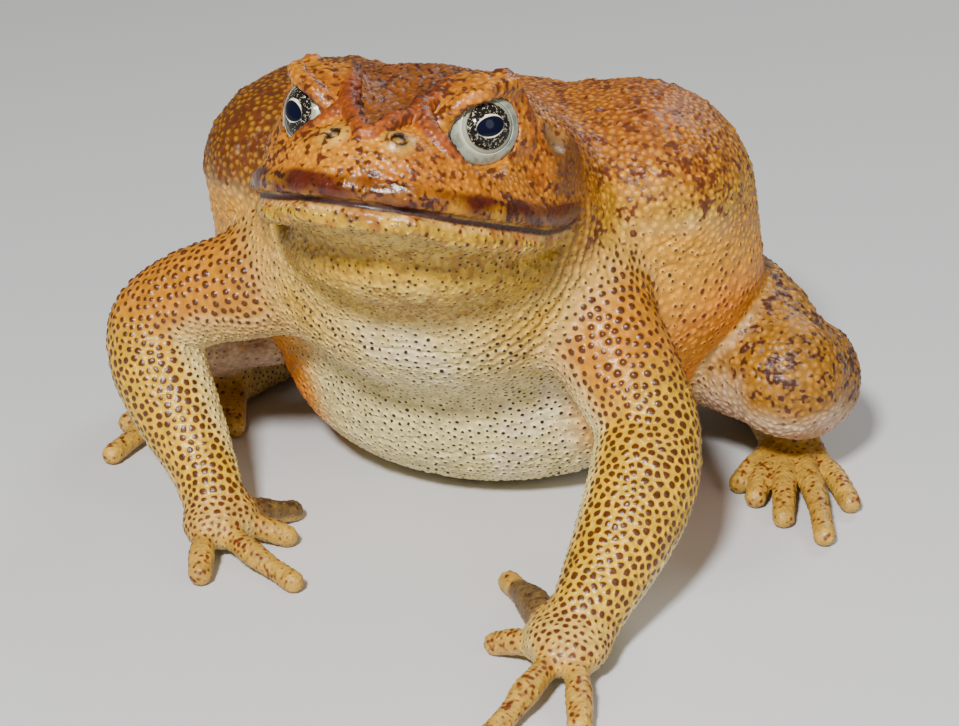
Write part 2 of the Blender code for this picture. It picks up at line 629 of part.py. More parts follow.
for tag, side in SIDES.items():
    arm = LEFT_ARM if side > 0 else RIGHT_ARM
    before = [trunk_skin]
    for segment in ("upper_arm", "forearm", "hand"):
        name = segment + "_" + tag
        if segment == "hand":
            centre, radii, yaw = arm[segment]
            piece = ellipsoid(name, centre, np.array(radii), turned(0, yaw))
        else:
            piece = tube(name, arm[segment], LIMB_SIDES, LIMB_STEP)
        before = [fitted(piece, before)]
    for n in (1, 2, 3, 4):
        piece = tube("finger_%d_%s" % (n, tag), arm["finger_%d" % n], DIGIT_SIDES, DIGIT_STEP)
        before.append(fitted(piece, before))
    before = [trunk_skin]
    for segment in ("thigh", "shank", "foot"):
        piece = tube(segment + "_" + tag, mirrored(LEG[segment], side), LIMB_SIDES, LIMB_STEP)
        before.append(fitted(piece, before))
    before = before[-1:]
    for n in (1, 2, 3, 4, 5):
        piece = tube("toe_%d_%s" % (n, tag), mirrored(LEG["toe_%d" % n], side), DIGIT_SIDES, DIGIT_STEP)
        before.append(fitted(piece, before))

for piece in list(bpy.data.objects):
    if piece.hide_render or piece.name == "trunk":
        bpy.data.objects.remove(piece, do_unlink=True)
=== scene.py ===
# A large cane toad, sitting up on its front limbs: its skin, eyes, floor, lights and camera
import math

import bpy
import numpy as np
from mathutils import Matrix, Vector, kdtree


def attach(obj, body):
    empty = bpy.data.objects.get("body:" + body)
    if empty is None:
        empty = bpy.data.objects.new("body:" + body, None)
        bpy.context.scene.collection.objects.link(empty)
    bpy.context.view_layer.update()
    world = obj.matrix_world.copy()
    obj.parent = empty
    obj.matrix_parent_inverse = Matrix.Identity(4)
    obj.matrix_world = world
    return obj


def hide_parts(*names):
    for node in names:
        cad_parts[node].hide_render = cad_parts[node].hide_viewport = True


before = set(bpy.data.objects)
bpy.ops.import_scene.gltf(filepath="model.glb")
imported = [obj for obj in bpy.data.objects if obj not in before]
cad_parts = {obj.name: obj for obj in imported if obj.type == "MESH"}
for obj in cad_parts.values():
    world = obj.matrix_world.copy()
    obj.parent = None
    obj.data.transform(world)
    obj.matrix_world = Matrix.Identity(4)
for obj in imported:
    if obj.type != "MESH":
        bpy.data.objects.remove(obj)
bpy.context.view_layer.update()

RNG = np.random.default_rng(11)

# The drawing, in millimetres: the toad faces -Y, its left is +X, the floor is z = 0
MM = 0.001
ORIGIN = np.array([0.0, 26.0, 0.0])      # the middle of the belly's flat, in the drawing
SIDES = {"l": 1, "r": -1}

# The head's own frame: s forward, l to the toad's left, h up, from between the mouth's corners
HEAD_PITCH = math.radians(14.0)
MOUTH = np.array([1.6, -42.6, 87.7])
FORWARD = np.array([0.0, -math.cos(HEAD_PITCH), math.sin(HEAD_PITCH)])
UPWARD = np.array([0.0, math.sin(HEAD_PITCH), math.cos(HEAD_PITCH)])
LEFTWARD = np.array([1.0, 0.0, 0.0])
HEAD_AXES = np.array([LEFTWARD, -FORWARD, UPWARD]).T

# Along s: the snout's tip and the widest place, with the half width there and how it narrows each way
SNOUT_TIP, WIDEST = 49.0, -2.0
HALF_WIDTH, SNOUT_POWER, NARROWER_BEHIND = 33.0, 2.3, 0.011
# As s and millimetres: height above the mouth, depth below it, and the mouth's own rise
HEAD_TOP = [(-30, 21.5), (-12, 24.5), (0, 25.2), (10, 24), (20, 22.0), (30, 19.4), (37, 16.9), (42, 14.6),
            (45, 12.2), (47.3, 8.6), (49, 5)]
HEAD_BOTTOM = [(-30, 14), (-5, 11.5), (10, 10), (25, 8.8), (38, 7.6), (44, 6.2), (47.5, 4.2), (49, 2.6)]
MOUTH_RISE = [(-30, -1.5), (-2, -1.2), (6, -2.0), (14, -2.0), (24, -0.9), (34, 0.2), (41, 1.0), (46, 2.2),
              (50, 2.6)]
MOUTH_LEAN = 0.045

EYE_RADIUS = 7.2
LID_RADIUS = 8.2
LID_OPENING, LID_END = 48.0, 105.0
GAZE_OUT, GAZE_UP, EYE_TILT = 36.0, 6.0, 19.0

# The body: centre, radii, pitch in degrees, blend with what is there already
TORSO = [((0, 18, 56), (66, 52, 40), 20, 5), ((0, -22, 70), (40, 32, 33), 35, 14),
         ((0, 26, 24), (50, 46, 27), 0, 14), ((0, 56, 36), (42, 34, 33), 20, 14),
         ((0, 74, 20), (20, 18, 20), 0, 12), ((0, -34, 88), (34, 24, 24), 14, 12)]

# The ridges of the skull as s, l, h, radius
CANTHAL_RIDGE = [(43.4, 0.9, 15.0, 1.4), (38, 4.2, 17.5, 1.6), (32, 7.2, 19.7, 1.6), (27, 8.9, 21.9, 1.6),
                 (22, 10.4, 23.8, 1.7), (14, 12.8, 25.0, 1.9), (5, 15.5, 24.2, 1.9), (-4, 18, 22.0, 1.7)]
# Round the eye: along its opening, along the gaze, across the opening, radius
BROW = [(-8.8, 3.2, 3.8, 1.5), (-4.5, 5.4, 5.8, 1.8), (0.5, 6.2, 6.6, 1.9), (5.5, 4.8, 6.7, 1.9),
        (9, 2.0, 5.9, 1.8)]
FRONT_RIDGE = [(-11.6, 2.4, 8.6, 1.4), (-12.6, 3.8, 6.8, 1.9), (-13.3, 7.9, 2.8, 2.0),
               (-12.4, 10.7, -1.0, 1.7), (-11.2, 11.6, -4.4, 1.2)]
REAR_RIDGE = [(8.2, -0.5, 7.4, 2.0), (9.8, -0.8, 3, 1.9), (10.2, -0.8, -2, 1.6), (9.4, -0.6, -6.5, 1.1)]
# On the head's left side, as s, l, h
EYE = (21.5, 16.9, 16.6)
NOSTRIL = (43.6, 6.9, 14.6)
EAR, EAR_RADIUS = (7.9, 33.5, 17.2), 6.0     # the ball that hollows the eardrum
# Along the mouth: s, how far in from the outline, lift, radius
UPPER_LIP = [(s, 1.5, 2.0, 1.9) for s in (-3, 0, 6, 14, 22, 29, 36, 42, 46, 48.0)]
LOWER_LIP = [(-2, 3.6, -2.4, 1.2), (8, 3.3, -3.3, 1.9), (20, 3.2, -3.7, 2.2), (32, 3.2, -3.9, 2.2),
             (40, 3.2, -3.9, 2.2), (46, 3.0, -3.4, 2.0)]
GAPE = [(-2, -1.3, -0.7, 0.6), (3, -0.2, -0.9, 0.9)]
GAPE += [(s, -0.2, -1.0, 1.0) for s in (14, 22, 30, 38, 44, 48, 49.4)]
CHIN_FOLD = [(0, 3.0, -6.0, 0.5), (4, 2.8, -6.8, 1.6), (12, 4.2, -8.4, 2.2), (22, 5.0, -9.2, 2.4),
             (30, 5.2, -9.8, 2.3), (36, 5.4, -10.0, 2.0), (41, 5.8, -10.0, 1.8)]

# The limbs: rows of x, y, z, radius
LEFT_ARM = {
    "upper_arm": [(28, -20, 68, 15), (35, -26, 58, 13.5), (44, -32, 47, 12.2), (50.5, -37, 36.5, 11.4)],
    "forearm": [(50.5, -37, 36.5, 11), (52, -47, 28.5, 11.8), (50.5, -58, 21, 10.6), (48, -68, 14.5, 8.8),
                (46, -75, 10, 7.6)],
    "hand": ((43.5, -81, 6.6), (9.0, 11.5, 6.2), 20),
    "finger_1": [(40, -79, 6.5, 3.8), (35, -70, 5.4, 3.7), (31.5, -63, 4.3, 3.6), (27.5, -57, 3.2, 2.5),
                 (23.4, -51, 2.1, 2.5)],
    "finger_2": [(40, -84, 5.5, 3.4), (36, -82.5, 4.8, 2.5), (32, -80.5, 4.0, 2.7), (27.5, -79, 2.1, 2.5)],
    "finger_3": [(42, -88, 5.5, 3.4), (41, -94, 5.2, 2.5), (39.5, -101, 4.6, 2.9), (38, -107, 3.3, 2.3),
                 (36, -115, 2.1, 2.5)],
    "finger_4": [(46.5, -88, 5.5, 3.4), (48.5, -94, 4.8, 2.5), (50, -99, 4.0, 2.8), (52, -107, 2.1, 2.5)],
}
RIGHT_ARM = {
    "upper_arm": [(-32, -20, 62, 15), (-44, -22, 56, 12.8), (-58, -22, 51, 11.5), (-68, -23, 44, 11.0)],
    "forearm": [(-68, -23, 44, 10.6), (-67, -27, 35, 11.0), (-60, -32, 24, 9.6), (-53.5, -37, 16, 7.8),
                (-49, -42, 10.5, 7.0)],
    "hand": ((-46, -46, 6.4), (7.5, 9.5, 6.0), -20),
    "finger_1": [(-43, -43, 6.0, 3.5), (-39.5, -37, 4.8, 3.4), (-37, -33, 3.4, 2.6), (-34.5, -29, 2.1, 2.5)],
    "finger_2": [(-42, -46, 5.2, 3.3), (-39, -44.5, 4.7, 2.5), (-36, -43, 3.9, 2.7), (-31.5, -42, 2.1, 2.5)],
    "finger_3": [(-43, -50, 5.5, 3.4), (-39.5, -53, 5.0, 2.5), (-34.5, -56.5, 4.4, 2.8),
                 (-29, -59.5, 3.1, 2.3), (-23, -63, 2.1, 2.5)],
    "finger_4": [(-47, -52, 5.5, 3.4), (-46.5, -56, 4.8, 2.6), (-45.5, -60, 3.8, 2.9), (-44, -65, 2.1, 2.5)],
}
LEG = {
    "thigh": [(20, 62, 36, 20), (38, 50, 34, 21.5), (58, 32, 33, 19), (73, 15, 31, 14)],
    "shank": [(74, 15, 29, 13), (75, 30, 24, 14.5), (67, 54, 18, 12), (55, 74, 12, 8.5)],
    "foot": [(55, 75, 11, 8.3), (61, 60, 8, 7), (68, 44, 7, 6.8), (73, 31, 6, 6.4)],
    "toe_1": [(70, 31, 5, 3.4), (67.5, 24, 4.2, 2.5), (66, 19, 3.6, 2.7), (64, 13, 2.1, 2.5)],
    "toe_2": [(71, 29, 5, 3.4), (70, 21, 4.4, 2.4), (69.3, 14, 3.8, 2.7), (69, 6, 2.1, 2.5)],
    "toe_3": [(73, 28, 5, 3.4), (74, 19, 4.6, 2.5), (75.3, 9, 4.2, 2.8), (77, -3, 2.1, 2.5)],
    "toe_4": [(76, 29, 5, 3.5), (79, 20, 4.7, 2.6), (82, 10, 4.4, 2.9), (85, 0, 3.4, 2.4),
              (87.5, -10, 2.1, 2.5)],
    "toe_5": [(78, 32, 5, 3.3), (82, 25, 4.3, 2.4), (86, 19, 3.6, 2.7), (91, 9, 2.1, 2.5)],
}
ARMS = {"l": LEFT_ARM, "r": RIGHT_ARM}
FINGERS, TOES = (1, 2, 3, 4), (1, 2, 3, 4, 5)

# The grid that the form is sampled on: its step, its corners, and the distance where nothing is near
GRID = 0.8
FIELD_LOW, FIELD_HIGH = (-97, -122, -3.2), (97, 98, 126)
FAR = 40.0
CORNERS = np.array([(i, j, k) for i in (0, 1) for j in (0, 1) for k in (0, 1)])


# Small vector tools
def unit(v):
    return np.asarray(v, float) / np.linalg.norm(v)


def turned(pitch=0.0, yaw=0.0, roll=0.0):
    """Columns are a form's own axes: pitch lifts the -y end, yaw turns about z, roll about y; degrees."""
    p, w, r = (math.radians(a) for a in (pitch, yaw, roll))
    about_x = np.array([[1, 0, 0], [0, math.cos(p), math.sin(p)], [0, -math.sin(p), math.cos(p)]])
    about_z = np.array([[math.cos(w), -math.sin(w), 0], [math.sin(w), math.cos(w), 0], [0, 0, 1]])
    about_y = np.array([[math.cos(r), 0, math.sin(r)], [0, 1, 0], [-math.sin(r), 0, math.cos(r)]])
    return about_z @ about_x @ about_y


def spline(rows, per):
    """A smooth line through rows of numbers, cut in `per` steps between neighbours."""
    p = np.asarray(rows, float)
    p = np.vstack([2 * p[0] - p[1], p, 2 * p[-1] - p[-2]])
    out = []
    for a, b, c, d in zip(p, p[1:], p[2:], p[3:]):
        for t in np.arange(per) / per:
            square = (2 * a - 5 * b + 4 * c - d) * t * t
            out.append(0.5 * (2 * b + (c - a) * t + square + (3 * b - a - 3 * c + d) * t ** 3))
    out.append(p[-2])
    return np.array(out)


def smooth_table(s, table, steps=160, window=15):
    """A table's value at s, with its corners rounded by a running mean."""
    rows = np.array(table, float)
    fine = np.linspace(rows[0, 0], rows[-1, 0], steps)
    weights = np.hanning(window)
    values = np.pad(np.interp(fine, rows[:, 0], rows[:, 1]), window // 2, mode="edge")
    return np.interp(s, fine, np.convolve(values, weights / weights.sum(), mode="valid"))


# Forms as signed distances: each is low corner, high corner, distance(x, y, z)
def ball(centre, radii, axes=None):
    centre = np.asarray(centre, float)
    radii = np.asarray(radii, float) * np.ones(3)
    axes = np.eye(3) if axes is None else axes
    reach = np.sqrt(((axes * radii) ** 2).sum(1))

    def distance(x, y, z):
        near = slope = 0
        for axis, radius in zip(axes.T, radii):
            along = (x - centre[0]) * axis[0] + (y - centre[1]) * axis[1] + (z - centre[2]) * axis[2]
            near = near + (along / radius) ** 2
            slope = slope + (along / radius ** 2) ** 2
        near = np.sqrt(near)
        return near * (near - 1) / np.maximum(np.sqrt(slope), 1e-6)
    return centre - reach, centre + reach, distance


def rod(a, b, start_radius, end_radius):
    a, b = np.asarray(a, float), np.asarray(b, float)
    line = b - a

    def distance(x, y, z):
        t = ((x - a[0]) * line[0] + (y - a[1]) * line[1] + (z - a[2]) * line[2]) / (line @ line)
        t = np.clip(t, 0, 1)
        dx, dy, dz = x - a[0] - t * line[0], y - a[1] - t * line[1], z - a[2] - t * line[2]
        return np.sqrt(dx * dx + dy * dy + dz * dz) - (start_radius + (end_radius - start_radius) * t)
    low = np.minimum(a - start_radius, b - end_radius)
    high = np.maximum(a + start_radius, b + end_radius)
    return low, high, distance


def chain(rows, per=5):
    """Rods along a smooth line through x, y, z, radius rows, as one form."""
    points = spline(rows, per)
    rods = [rod(p[:3], q[:3], p[3], q[3]) for p, q in zip(points, points[1:])]

    def distance(x, y, z):
        best = rods[0][2](x, y, z)
        for one in rods[1:]:
            best = np.minimum(best, one[2](x, y, z))
        return best
    return np.min([r[0] for r in rods], 0), np.max([r[1] for r in rods], 0), distance


class Field:
    """Signed distance to the form built so far, on a regular grid."""

    def __init__(self, low, high, step):
        self.low, self.step = np.array(low, float), step
        count = np.ceil((np.array(high) - self.low) / step).astype(int) + 1
        self.value = np.full(count, FAR, np.float32)

    def near(self, form, blend):
        """The part of the grid near a form, and the form's distance there."""
        low, high, distance = form
        margin = blend + 3
        count = self.value.shape
        start = np.clip(np.floor((low - margin - self.low) / self.step).astype(int), 0, count)
        stop = np.clip(np.ceil((high + margin - self.low) / self.step).astype(int) + 1, 0, count)
        axes = [(corner + self.step * np.arange(i, j)).astype(np.float32)
                for corner, i, j in zip(self.low, start, stop)]
        x, y, z = axes[0][:, None, None], axes[1][None, :, None], axes[2][None, None, :]
        return tuple(slice(i, j) for i, j in zip(start, stop)), distance(x, y, z)

    def add(self, form, blend):
        where, new = self.near(form, blend)
        old = self.value[where]
        mix = np.clip(0.5 + 0.5 * (new - old) / blend, 0, 1)
        self.value[where] = new + (old - new) * mix - blend * mix * (1 - mix)

    def cut(self, form, blend):
        where, new = self.near(form, blend)
        old = self.value[where]
        mix = np.clip(0.5 + 0.5 * (new + old) / blend, 0, 1)
        self.value[where] = (old + new) * mix - new + blend * mix * (1 - mix)


# The head
def head_point(s, l, h):
    return MOUTH + s * FORWARD + l * LEFTWARD + h * UPWARD


def head_turned(pitch=0.0, yaw=0.0):
    return HEAD_AXES @ turned(pitch, yaw)


def outline(s):
    """Half the head's width at the mouth, s ahead of the mouth's corners."""
    ahead = np.clip((s - WIDEST) / (SNOUT_TIP - WIDEST), 0, 1)
    width = HALF_WIDTH * np.sqrt(np.maximum(1 - ahead ** SNOUT_POWER, 0))
    return width - NARROWER_BEHIND * np.minimum(s - WIDEST, 0) ** 2


def mouth_rise(s, l):
    return smooth_table(s, MOUTH_RISE) - MOUTH_LEAN * l


def head_mass(step):
    """The skull above the mouth's line and the jaw below it, blunter towards the snout."""
    def distance(x, y, z):
        s = (y - MOUTH[1]) * FORWARD[1] + (z - MOUTH[2]) * FORWARD[2]
        h = (y - MOUTH[1]) * UPWARD[1] + (z - MOUTH[2]) * UPWARD[2]
        l = x - MOUTH[0]
        h = h - mouth_rise(s, l)
        width = np.maximum(outline(s), 2.0)
        blunt = 0.5 * np.clip((s - 26) / 14, 0, 1)
        above = (np.abs(l) / width) ** (1.9 + blunt)
        above = above + (np.maximum(h, 0) / smooth_table(s, HEAD_TOP)) ** (1.7 + blunt)
        jaw = np.maximum(width - 2.4 * np.clip((s + 6) / 8, 0, 1), 1.5)
        below = (np.abs(l) / jaw) ** 2.2 + (np.maximum(-h, 0) / smooth_table(s, HEAD_BOTTOM)) ** 2.0
        ratio = np.where(h > 0, above ** (0.55 - 0.2 * blunt), below ** 0.47)
        # the snout ends at its tip, and dividing by the slope gives about a distance
        value = (np.maximum(ratio, 1 + (s - SNOUT_TIP) / 12) - 1) * 20
        slope = np.gradient(value, step)
        return value / np.maximum(np.sqrt(sum(g * g for g in slope)), 0.35)
    return np.array([-40.0, -100, 60]), np.array([40.0, -8, 125]), distance


def on_side(side, place):
    """A place on the head's left side, or its mirror image."""
    s, l, h = place
    return head_point(s, l * side, h)


def eye_centre(side):
    return on_side(side, EYE)


def eye_axes(side):
    """Columns: along the eye's opening to its outer corner, the gaze, up across the opening."""
    out, up, tilt = math.radians(GAZE_OUT), math.radians(GAZE_UP), math.radians(EYE_TILT)
    level = math.cos(out) * FORWARD + math.sin(out) * side * LEFTWARD
    gaze = math.cos(up) * level + math.sin(up) * UPWARD
    along = unit(side * LEFTWARD * math.cos(out) - FORWARD * math.sin(out))
    rise = unit(np.cross(along, gaze)) * -side
    rise = rise if rise @ UPWARD > 0 else -rise
    return np.array([along * math.cos(tilt) + rise * math.sin(tilt), gaze,
                     rise * math.cos(tilt) - along * math.sin(tilt)]).T


def eye_point(side, along, ahead, up):
    return eye_centre(side) + eye_axes(side) @ np.array([along, ahead, up])


def eye_chain(side, rows):
    return chain([(*eye_point(side, *row[:3]), row[3]) for row in rows])


def canthal_chain(side, per=5):
    return chain([(*on_side(side, row[:3]), row[3]) for row in CANTHAL_RIDGE], per)


def mouth_chain(rows):
    """A rod along the mouth's line from corner to corner."""
    right, left = ([(s, side * (outline(s) - inset), lift, r) for s, inset, lift, r in rows]
                   for side in (-1, 1))
    return chain([(*head_point(s, l, mouth_rise(s, l) + lift), r) for s, l, lift, r in right + left[::-1]])


def mirrored(rows, side):
    return [(x * side, y, z, r) for x, y, z, r in rows]


def build_body():
    """The whole animal as a field, and a copy of its values before the limbs."""
    field = Field(FIELD_LOW, FIELD_HIGH, GRID)
    for centre, radii, pitch, blend in TORSO:
        field.add(ball(centre, radii, turned(pitch)), blend)
    # the bulges with the large glands
    for side in SIDES.values():
        field.add(ball((41 * side, 13, 79), (23, 34, 19), turned(6, 10 * side, 25 * side)), 10)
    # the head, with its throat, crown, cheeks, ridges, eye sockets and brows
    field.add(head_mass(GRID), 8)
    field.add(ball(head_point(-3, 0, -12), (27, 30, 12), head_turned(-4)), 7)
    field.add(ball(head_point(4, 0, 14), (25, 26, 11), head_turned()), 5)
    for side in SIDES.values():
        field.add(ball(head_point(2, 25 * side, 9), (7, 12, 9), head_turned()), 6)
        field.add(canthal_chain(side), 0.9)
        field.add(ball(eye_point(side, 2, -6.5, 2.6), (11.0, 8.0, 7.0), eye_axes(side)), 3.0)
        field.add(ball(eye_point(side, 0, -2.2, 4.8), (10.6, 7.8, 5.8), eye_axes(side)), 2.0)
        field.add(ball(head_point(8.5, 17.5 * side, 14.5), (8.5, 7.5, 9.0), head_turned(-8)), 4.0)
        field.add(eye_chain(side, BROW), 1.4)
        field.add(ball(eye_point(side, 0, -1.0, -1.5), (10.0, 6.4, 9.5), eye_axes(side)), 3.0)
        field.add(eye_chain(side, FRONT_RIDGE), 1.2)
        field.add(eye_chain(side, REAR_RIDGE), 2.4)
    # the dip between the eyes, then the lips
    field.cut(ball(head_point(26, 0, 26.6), (7.0, 16, 6.6), head_turned(-13)), 2.4)
    field.add(mouth_chain(UPPER_LIP), 2.6)
    field.add(mouth_chain(LOWER_LIP), 3.0)
    trunk = field.value.copy()
    for tag, side in SIDES.items():
        arm = ARMS[tag]
        field.add(chain(arm["upper_arm"] + arm["forearm"][1:]), 5)
        centre, radii, yaw = arm["hand"]
        field.add(ball(centre, radii, turned(0, yaw)), 3)
        for n in FINGERS:
            field.add(chain(arm["finger_%d" % n]), 1.6)
        field.add(chain(mirrored(LEG["thigh"], side)), 4)
        field.add(chain(mirrored(LEG["shank"], side)), 2.5)
        field.add(chain(mirrored(LEG["foot"], side)), 2)
        for n in TOES:
            field.add(chain(mirrored(LEG["toe_%d" % n], side)), 1.6)
    # the fold under the chin, the mouth's slit, the eardrums, the eyes' openings and the nostrils
    field.cut(mouth_chain(CHIN_FOLD), 3.0)
    field.cut(mouth_chain(GAPE), 0.6)
    for side in SIDES.values():
        field.cut(ball(on_side(side, EAR), EAR_RADIUS), 0.5)
        field.cut(ball(eye_centre(side), LID_RADIUS - 0.1), 0.5)
        field.cut(ball(eye_point(side, -1.2, 8.0, -2.2), (9.3, 7.5, 7.0), eye_axes(side)), 0.6)
        field.add(ball(head_point(42.2, 5.7 * side, 13.0), (3.2, 3.1, 2.9), head_turned(20)), 0.9)
        field.cut(ball(on_side(side, NOSTRIL), (1.8, 2.0, 1.15), head_turned(20, 30 * side)), 0.4)
    return field, trunk


def surface_net(field):
    """Quads of the zero surface, one vertex in each cell that it crosses."""
    value = field.value
    inside = value < 0
    count = np.array(value.shape) - 1

    def corner_of(array, corner):
        return array[tuple(slice(c, n + c) for c, n in zip(corner, count))]
    total = sum(corner_of(inside, corner).astype(np.uint8) for corner in CORNERS)
    cells = np.argwhere((total > 0) & (total < 8))
    ids = np.full(count, -1, np.int64)
    ids[tuple(cells.T)] = np.arange(len(cells))
    place = np.zeros((len(cells), 3))
    crossings = np.zeros(len(cells))
    for corner in CORNERS:
        for axis in range(3):
            if corner[axis]:
                continue
            other = corner.copy()
            other[axis] = 1
            a, b = value[tuple((cells + corner).T)], value[tuple((cells + other).T)]
            cross = (a < 0) != (b < 0)
            share = np.where(cross, a / np.where(cross, a - b, 1), 0)
            point = np.tile(corner.astype(float), (len(cells), 1))
            point[:, axis] += share
            place += point * cross[:, None]
            crossings += cross
    points = field.low + field.step * (cells + place / crossings[:, None])
    quads = []
    for axis in range(3):
        u, v = np.eye(3, dtype=int)[(axis + 1) % 3], np.eye(3, dtype=int)[(axis + 2) % 3]
        first, second = [slice(1, -1)] * 3, [slice(1, -1)] * 3
        first[axis], second[axis] = slice(0, -1), slice(1, None)
        first, second = inside[tuple(first)], inside[tuple(second)]
        for flip, mask in ((False, first & ~second), (True, ~first & second)):
            edge = np.argwhere(mask) + u + v
            ring = np.stack([ids[tuple(e.T)] for e in (edge, edge - u, edge - u - v, edge - v)], 1)
            quads.append(ring[:, ::-1] if flip else ring)
    return points, np.vstack(quads)


def sample(grid, field, points):
    """A grid's value at points, between its nodes."""
    q = (points - field.low) / field.step
    q = np.clip(q, 0, np.array(grid.shape) - 1.001)
    i = q.astype(int)
    w = q - i
    out = np.zeros(len(points))
    for corner in CORNERS:
        weight = np.prod(np.where(corner, w, 1 - w), 1)
        out += weight * grid[tuple((i + corner).T)]
    return out


def settle(field, points, most=0.3, rounds=2):
    """Move points on to the zero surface, and give its outward direction."""
    reach = 0.75 * field.step
    for _ in range(rounds):
        slope = np.stack([sample(field.value, field, points + reach * e) -
                          sample(field.value, field, points - reach * e) for e in np.eye(3)], 1)
        slope /= 2 * reach
        size = np.maximum((slope ** 2).sum(1), 0.05)
        shift = sample(field.value, field, points) / size
        points = points - np.clip(shift, -most, most)[:, None] * slope
    return points, slope / np.linalg.norm(slope, axis=1)[:, None]


# The skin's mesh, standing on the floor
field, trunk_grid = build_body()
points, quads = surface_net(field)
points, _ = settle(field, points)
points[:, 2] = np.maximum(points[:, 2], 0.0)


def new_object(name, points, faces):
    """A piece from points in millimetres and an array of quads."""
    mesh = bpy.data.meshes.new(name)
    faces = np.asarray(faces)
    mesh.vertices.add(len(points))
    mesh.vertices.foreach_set("co", ((points - ORIGIN) * MM).astype(np.float32).ravel())
    mesh.loops.add(faces.size)
    mesh.loops.foreach_set("vertex_index", faces.ravel().astype(np.int32))
    mesh.polygons.add(len(faces))
    starts = np.arange(len(faces)) * faces.shape[1]
    mesh.polygons.foreach_set("loop_start", starts.astype(np.int32))
    mesh.update(calc_edges=True)
    mesh.validate()
    piece = bpy.data.objects.new(name, mesh)
    bpy.context.scene.collection.objects.link(piece)
    return piece


def edit_whole(piece, operator, **settings):
    """Runs a mesh editing operator on the whole of a piece."""
    bpy.ops.object.select_all(action="DESELECT")
    piece.select_set(True)
    bpy.context.view_layer.objects.active = piece
    bpy.ops.object.mode_set(mode="EDIT")
    bpy.ops.mesh.select_all(action="SELECT")
    operator(**settings)
    bpy.ops.object.mode_set(mode="OBJECT")


skin = new_object("toad_skin", points, quads)
skin.data.uv_layers.new(name="OFBake")
edit_whole(skin, bpy.ops.uv.smart_project, angle_limit=math.radians(66), island_margin=0.001)
finer = skin.modifiers.new("finer", "SUBSURF")
finer.levels = finer.render_levels = 1
finer.boundary_smooth = "ALL"
bpy.ops.object.modifier_apply(modifier="finer")
mesh = skin.data
count = len(mesh.vertices)
points = np.empty(count * 3, np.float32)
mesh.vertices.foreach_get("co", points)
points = points.reshape(-1, 3).astype(float) / MM + ORIGIN
points, normals = settle(field, points)


# Where each point lies: shares of trunk, arm, hand, leg and foot, and the head's own coordinates
def form_distance(form, points):
    x, y, z = points.T
    return form[2](x, y, z)


def step_up(value, low, high):
    """Rises smoothly from 0 to 1 between low and high."""
    t = np.clip((value - low) / (high - low), 0, 1)
    return t * t * (3 - 2 * t)


FAR_AWAY, SHARE_BLEND = 99.0, 1.6
distances = {"trunk": sample(trunk_grid, field, points)}
for tag, side in SIDES.items():
    arm = ARMS[tag]
    # coarser chains are fine enough here
    near = {"arm": [chain(arm["upper_arm"] + arm["forearm"][1:], 2)],
            "hand": [ball(arm["hand"][0], arm["hand"][1], turned(0, arm["hand"][2]))],
            "finger": [chain(arm["finger_%d" % n], 2) for n in FINGERS],
            "leg": [chain(mirrored(LEG["thigh"], side), 2), chain(mirrored(LEG["shank"], side), 2)],
            "foot": [chain(mirrored(LEG["foot"], side), 2)],
            "toe": [chain(mirrored(LEG["toe_%d" % n], side), 2) for n in TOES]}
    for key, forms in near.items():
        best = np.min([form_distance(form, points) for form in forms], axis=0)
        distances[key] = np.minimum(distances.get(key, FAR_AWAY), best)
names = list(distances)
closeness = np.stack([np.exp(-np.clip(distances[k], -3, 30) / SHARE_BLEND) for k in names])
closeness /= closeness.sum(0)
share = dict(zip(names, closeness))
relative = points - MOUTH
head_s, head_h, head_l = relative @ FORWARD, relative @ UPWARD, relative[:, 0]
on_head = share["trunk"] * step_up(head_s + 0.3 * head_h, -14, 2) * step_up(head_h, -34, -24)
over_mouth = head_h - mouth_rise(head_s, head_l)


# Soft random variation, the same each time
def noise(points, scale, seed, size=32):
    """A smooth field of -1 to 1 whose lumps are about `scale` millimetres."""
    lattice = np.random.default_rng(seed).random((size, size, size))
    q = points / scale + 100
    i = np.floor(q).astype(int)
    w = q - i
    w = w * w * (3 - 2 * w)
    out = np.zeros(len(points))
    for corner in CORNERS:
        j = (i + corner) % size
        out += np.prod(np.where(corner, w, 1 - w), 1) * lattice[j[:, 0], j[:, 1], j[:, 2]]
    return out * 2 - 1


rough_patches = noise(points, 14, 3)
small_patches = noise(points, 4, 5)
down = np.clip(-normals[:, 2], -1, 1)

# Zones as shares of 0 to 1: the pale underside with the limbs' inner faces, the throat, the plain flanks
limb = 1 - share["trunk"]
body = share["trunk"] * (1 - on_head)
under = step_up(down + 0.2 * rough_patches, 0.1, 0.65)
front = share["trunk"] * step_up(-normals[:, 1], 0.1, 0.7) * step_up(-points[:, 2], -82, -64)
inner = limb * step_up(-normals[:, 0] * np.sign(points[:, 0]) + 0.2 * rough_patches + 0.4 * down, 0.35, 0.95)
under = np.clip(np.maximum(np.maximum(under, front), inner), 0, 1)
under *= 1 - on_head * step_up(over_mouth, -1.0, 0.5)
throat = on_head * step_up(-over_mouth, 0.5, 2.5)
flank = body * step_up(np.abs(normals[:, 0]) + 0.1 * rough_patches, 0.4, 0.8)
flank *= step_up(-points[:, 2], -80, -56) * step_up(points[:, 1], -28, -8)
under *= 1 - 0.85 * flank

arms = share["arm"] + share["hand"]
legs = share["leg"]
digits = share["finger"] + share["toe"]
palms = share["hand"] + share["foot"]


def towards(target, value, weight):
    return target + (value - target) * weight


def by_zone(value, zones):
    """A value at each point, changed to a zone's own value where the zone lies; the last one wins."""
    values = np.full(count, value)
    for zone_value, where in zones:
        values = towards(values, zone_value, where)
    return values


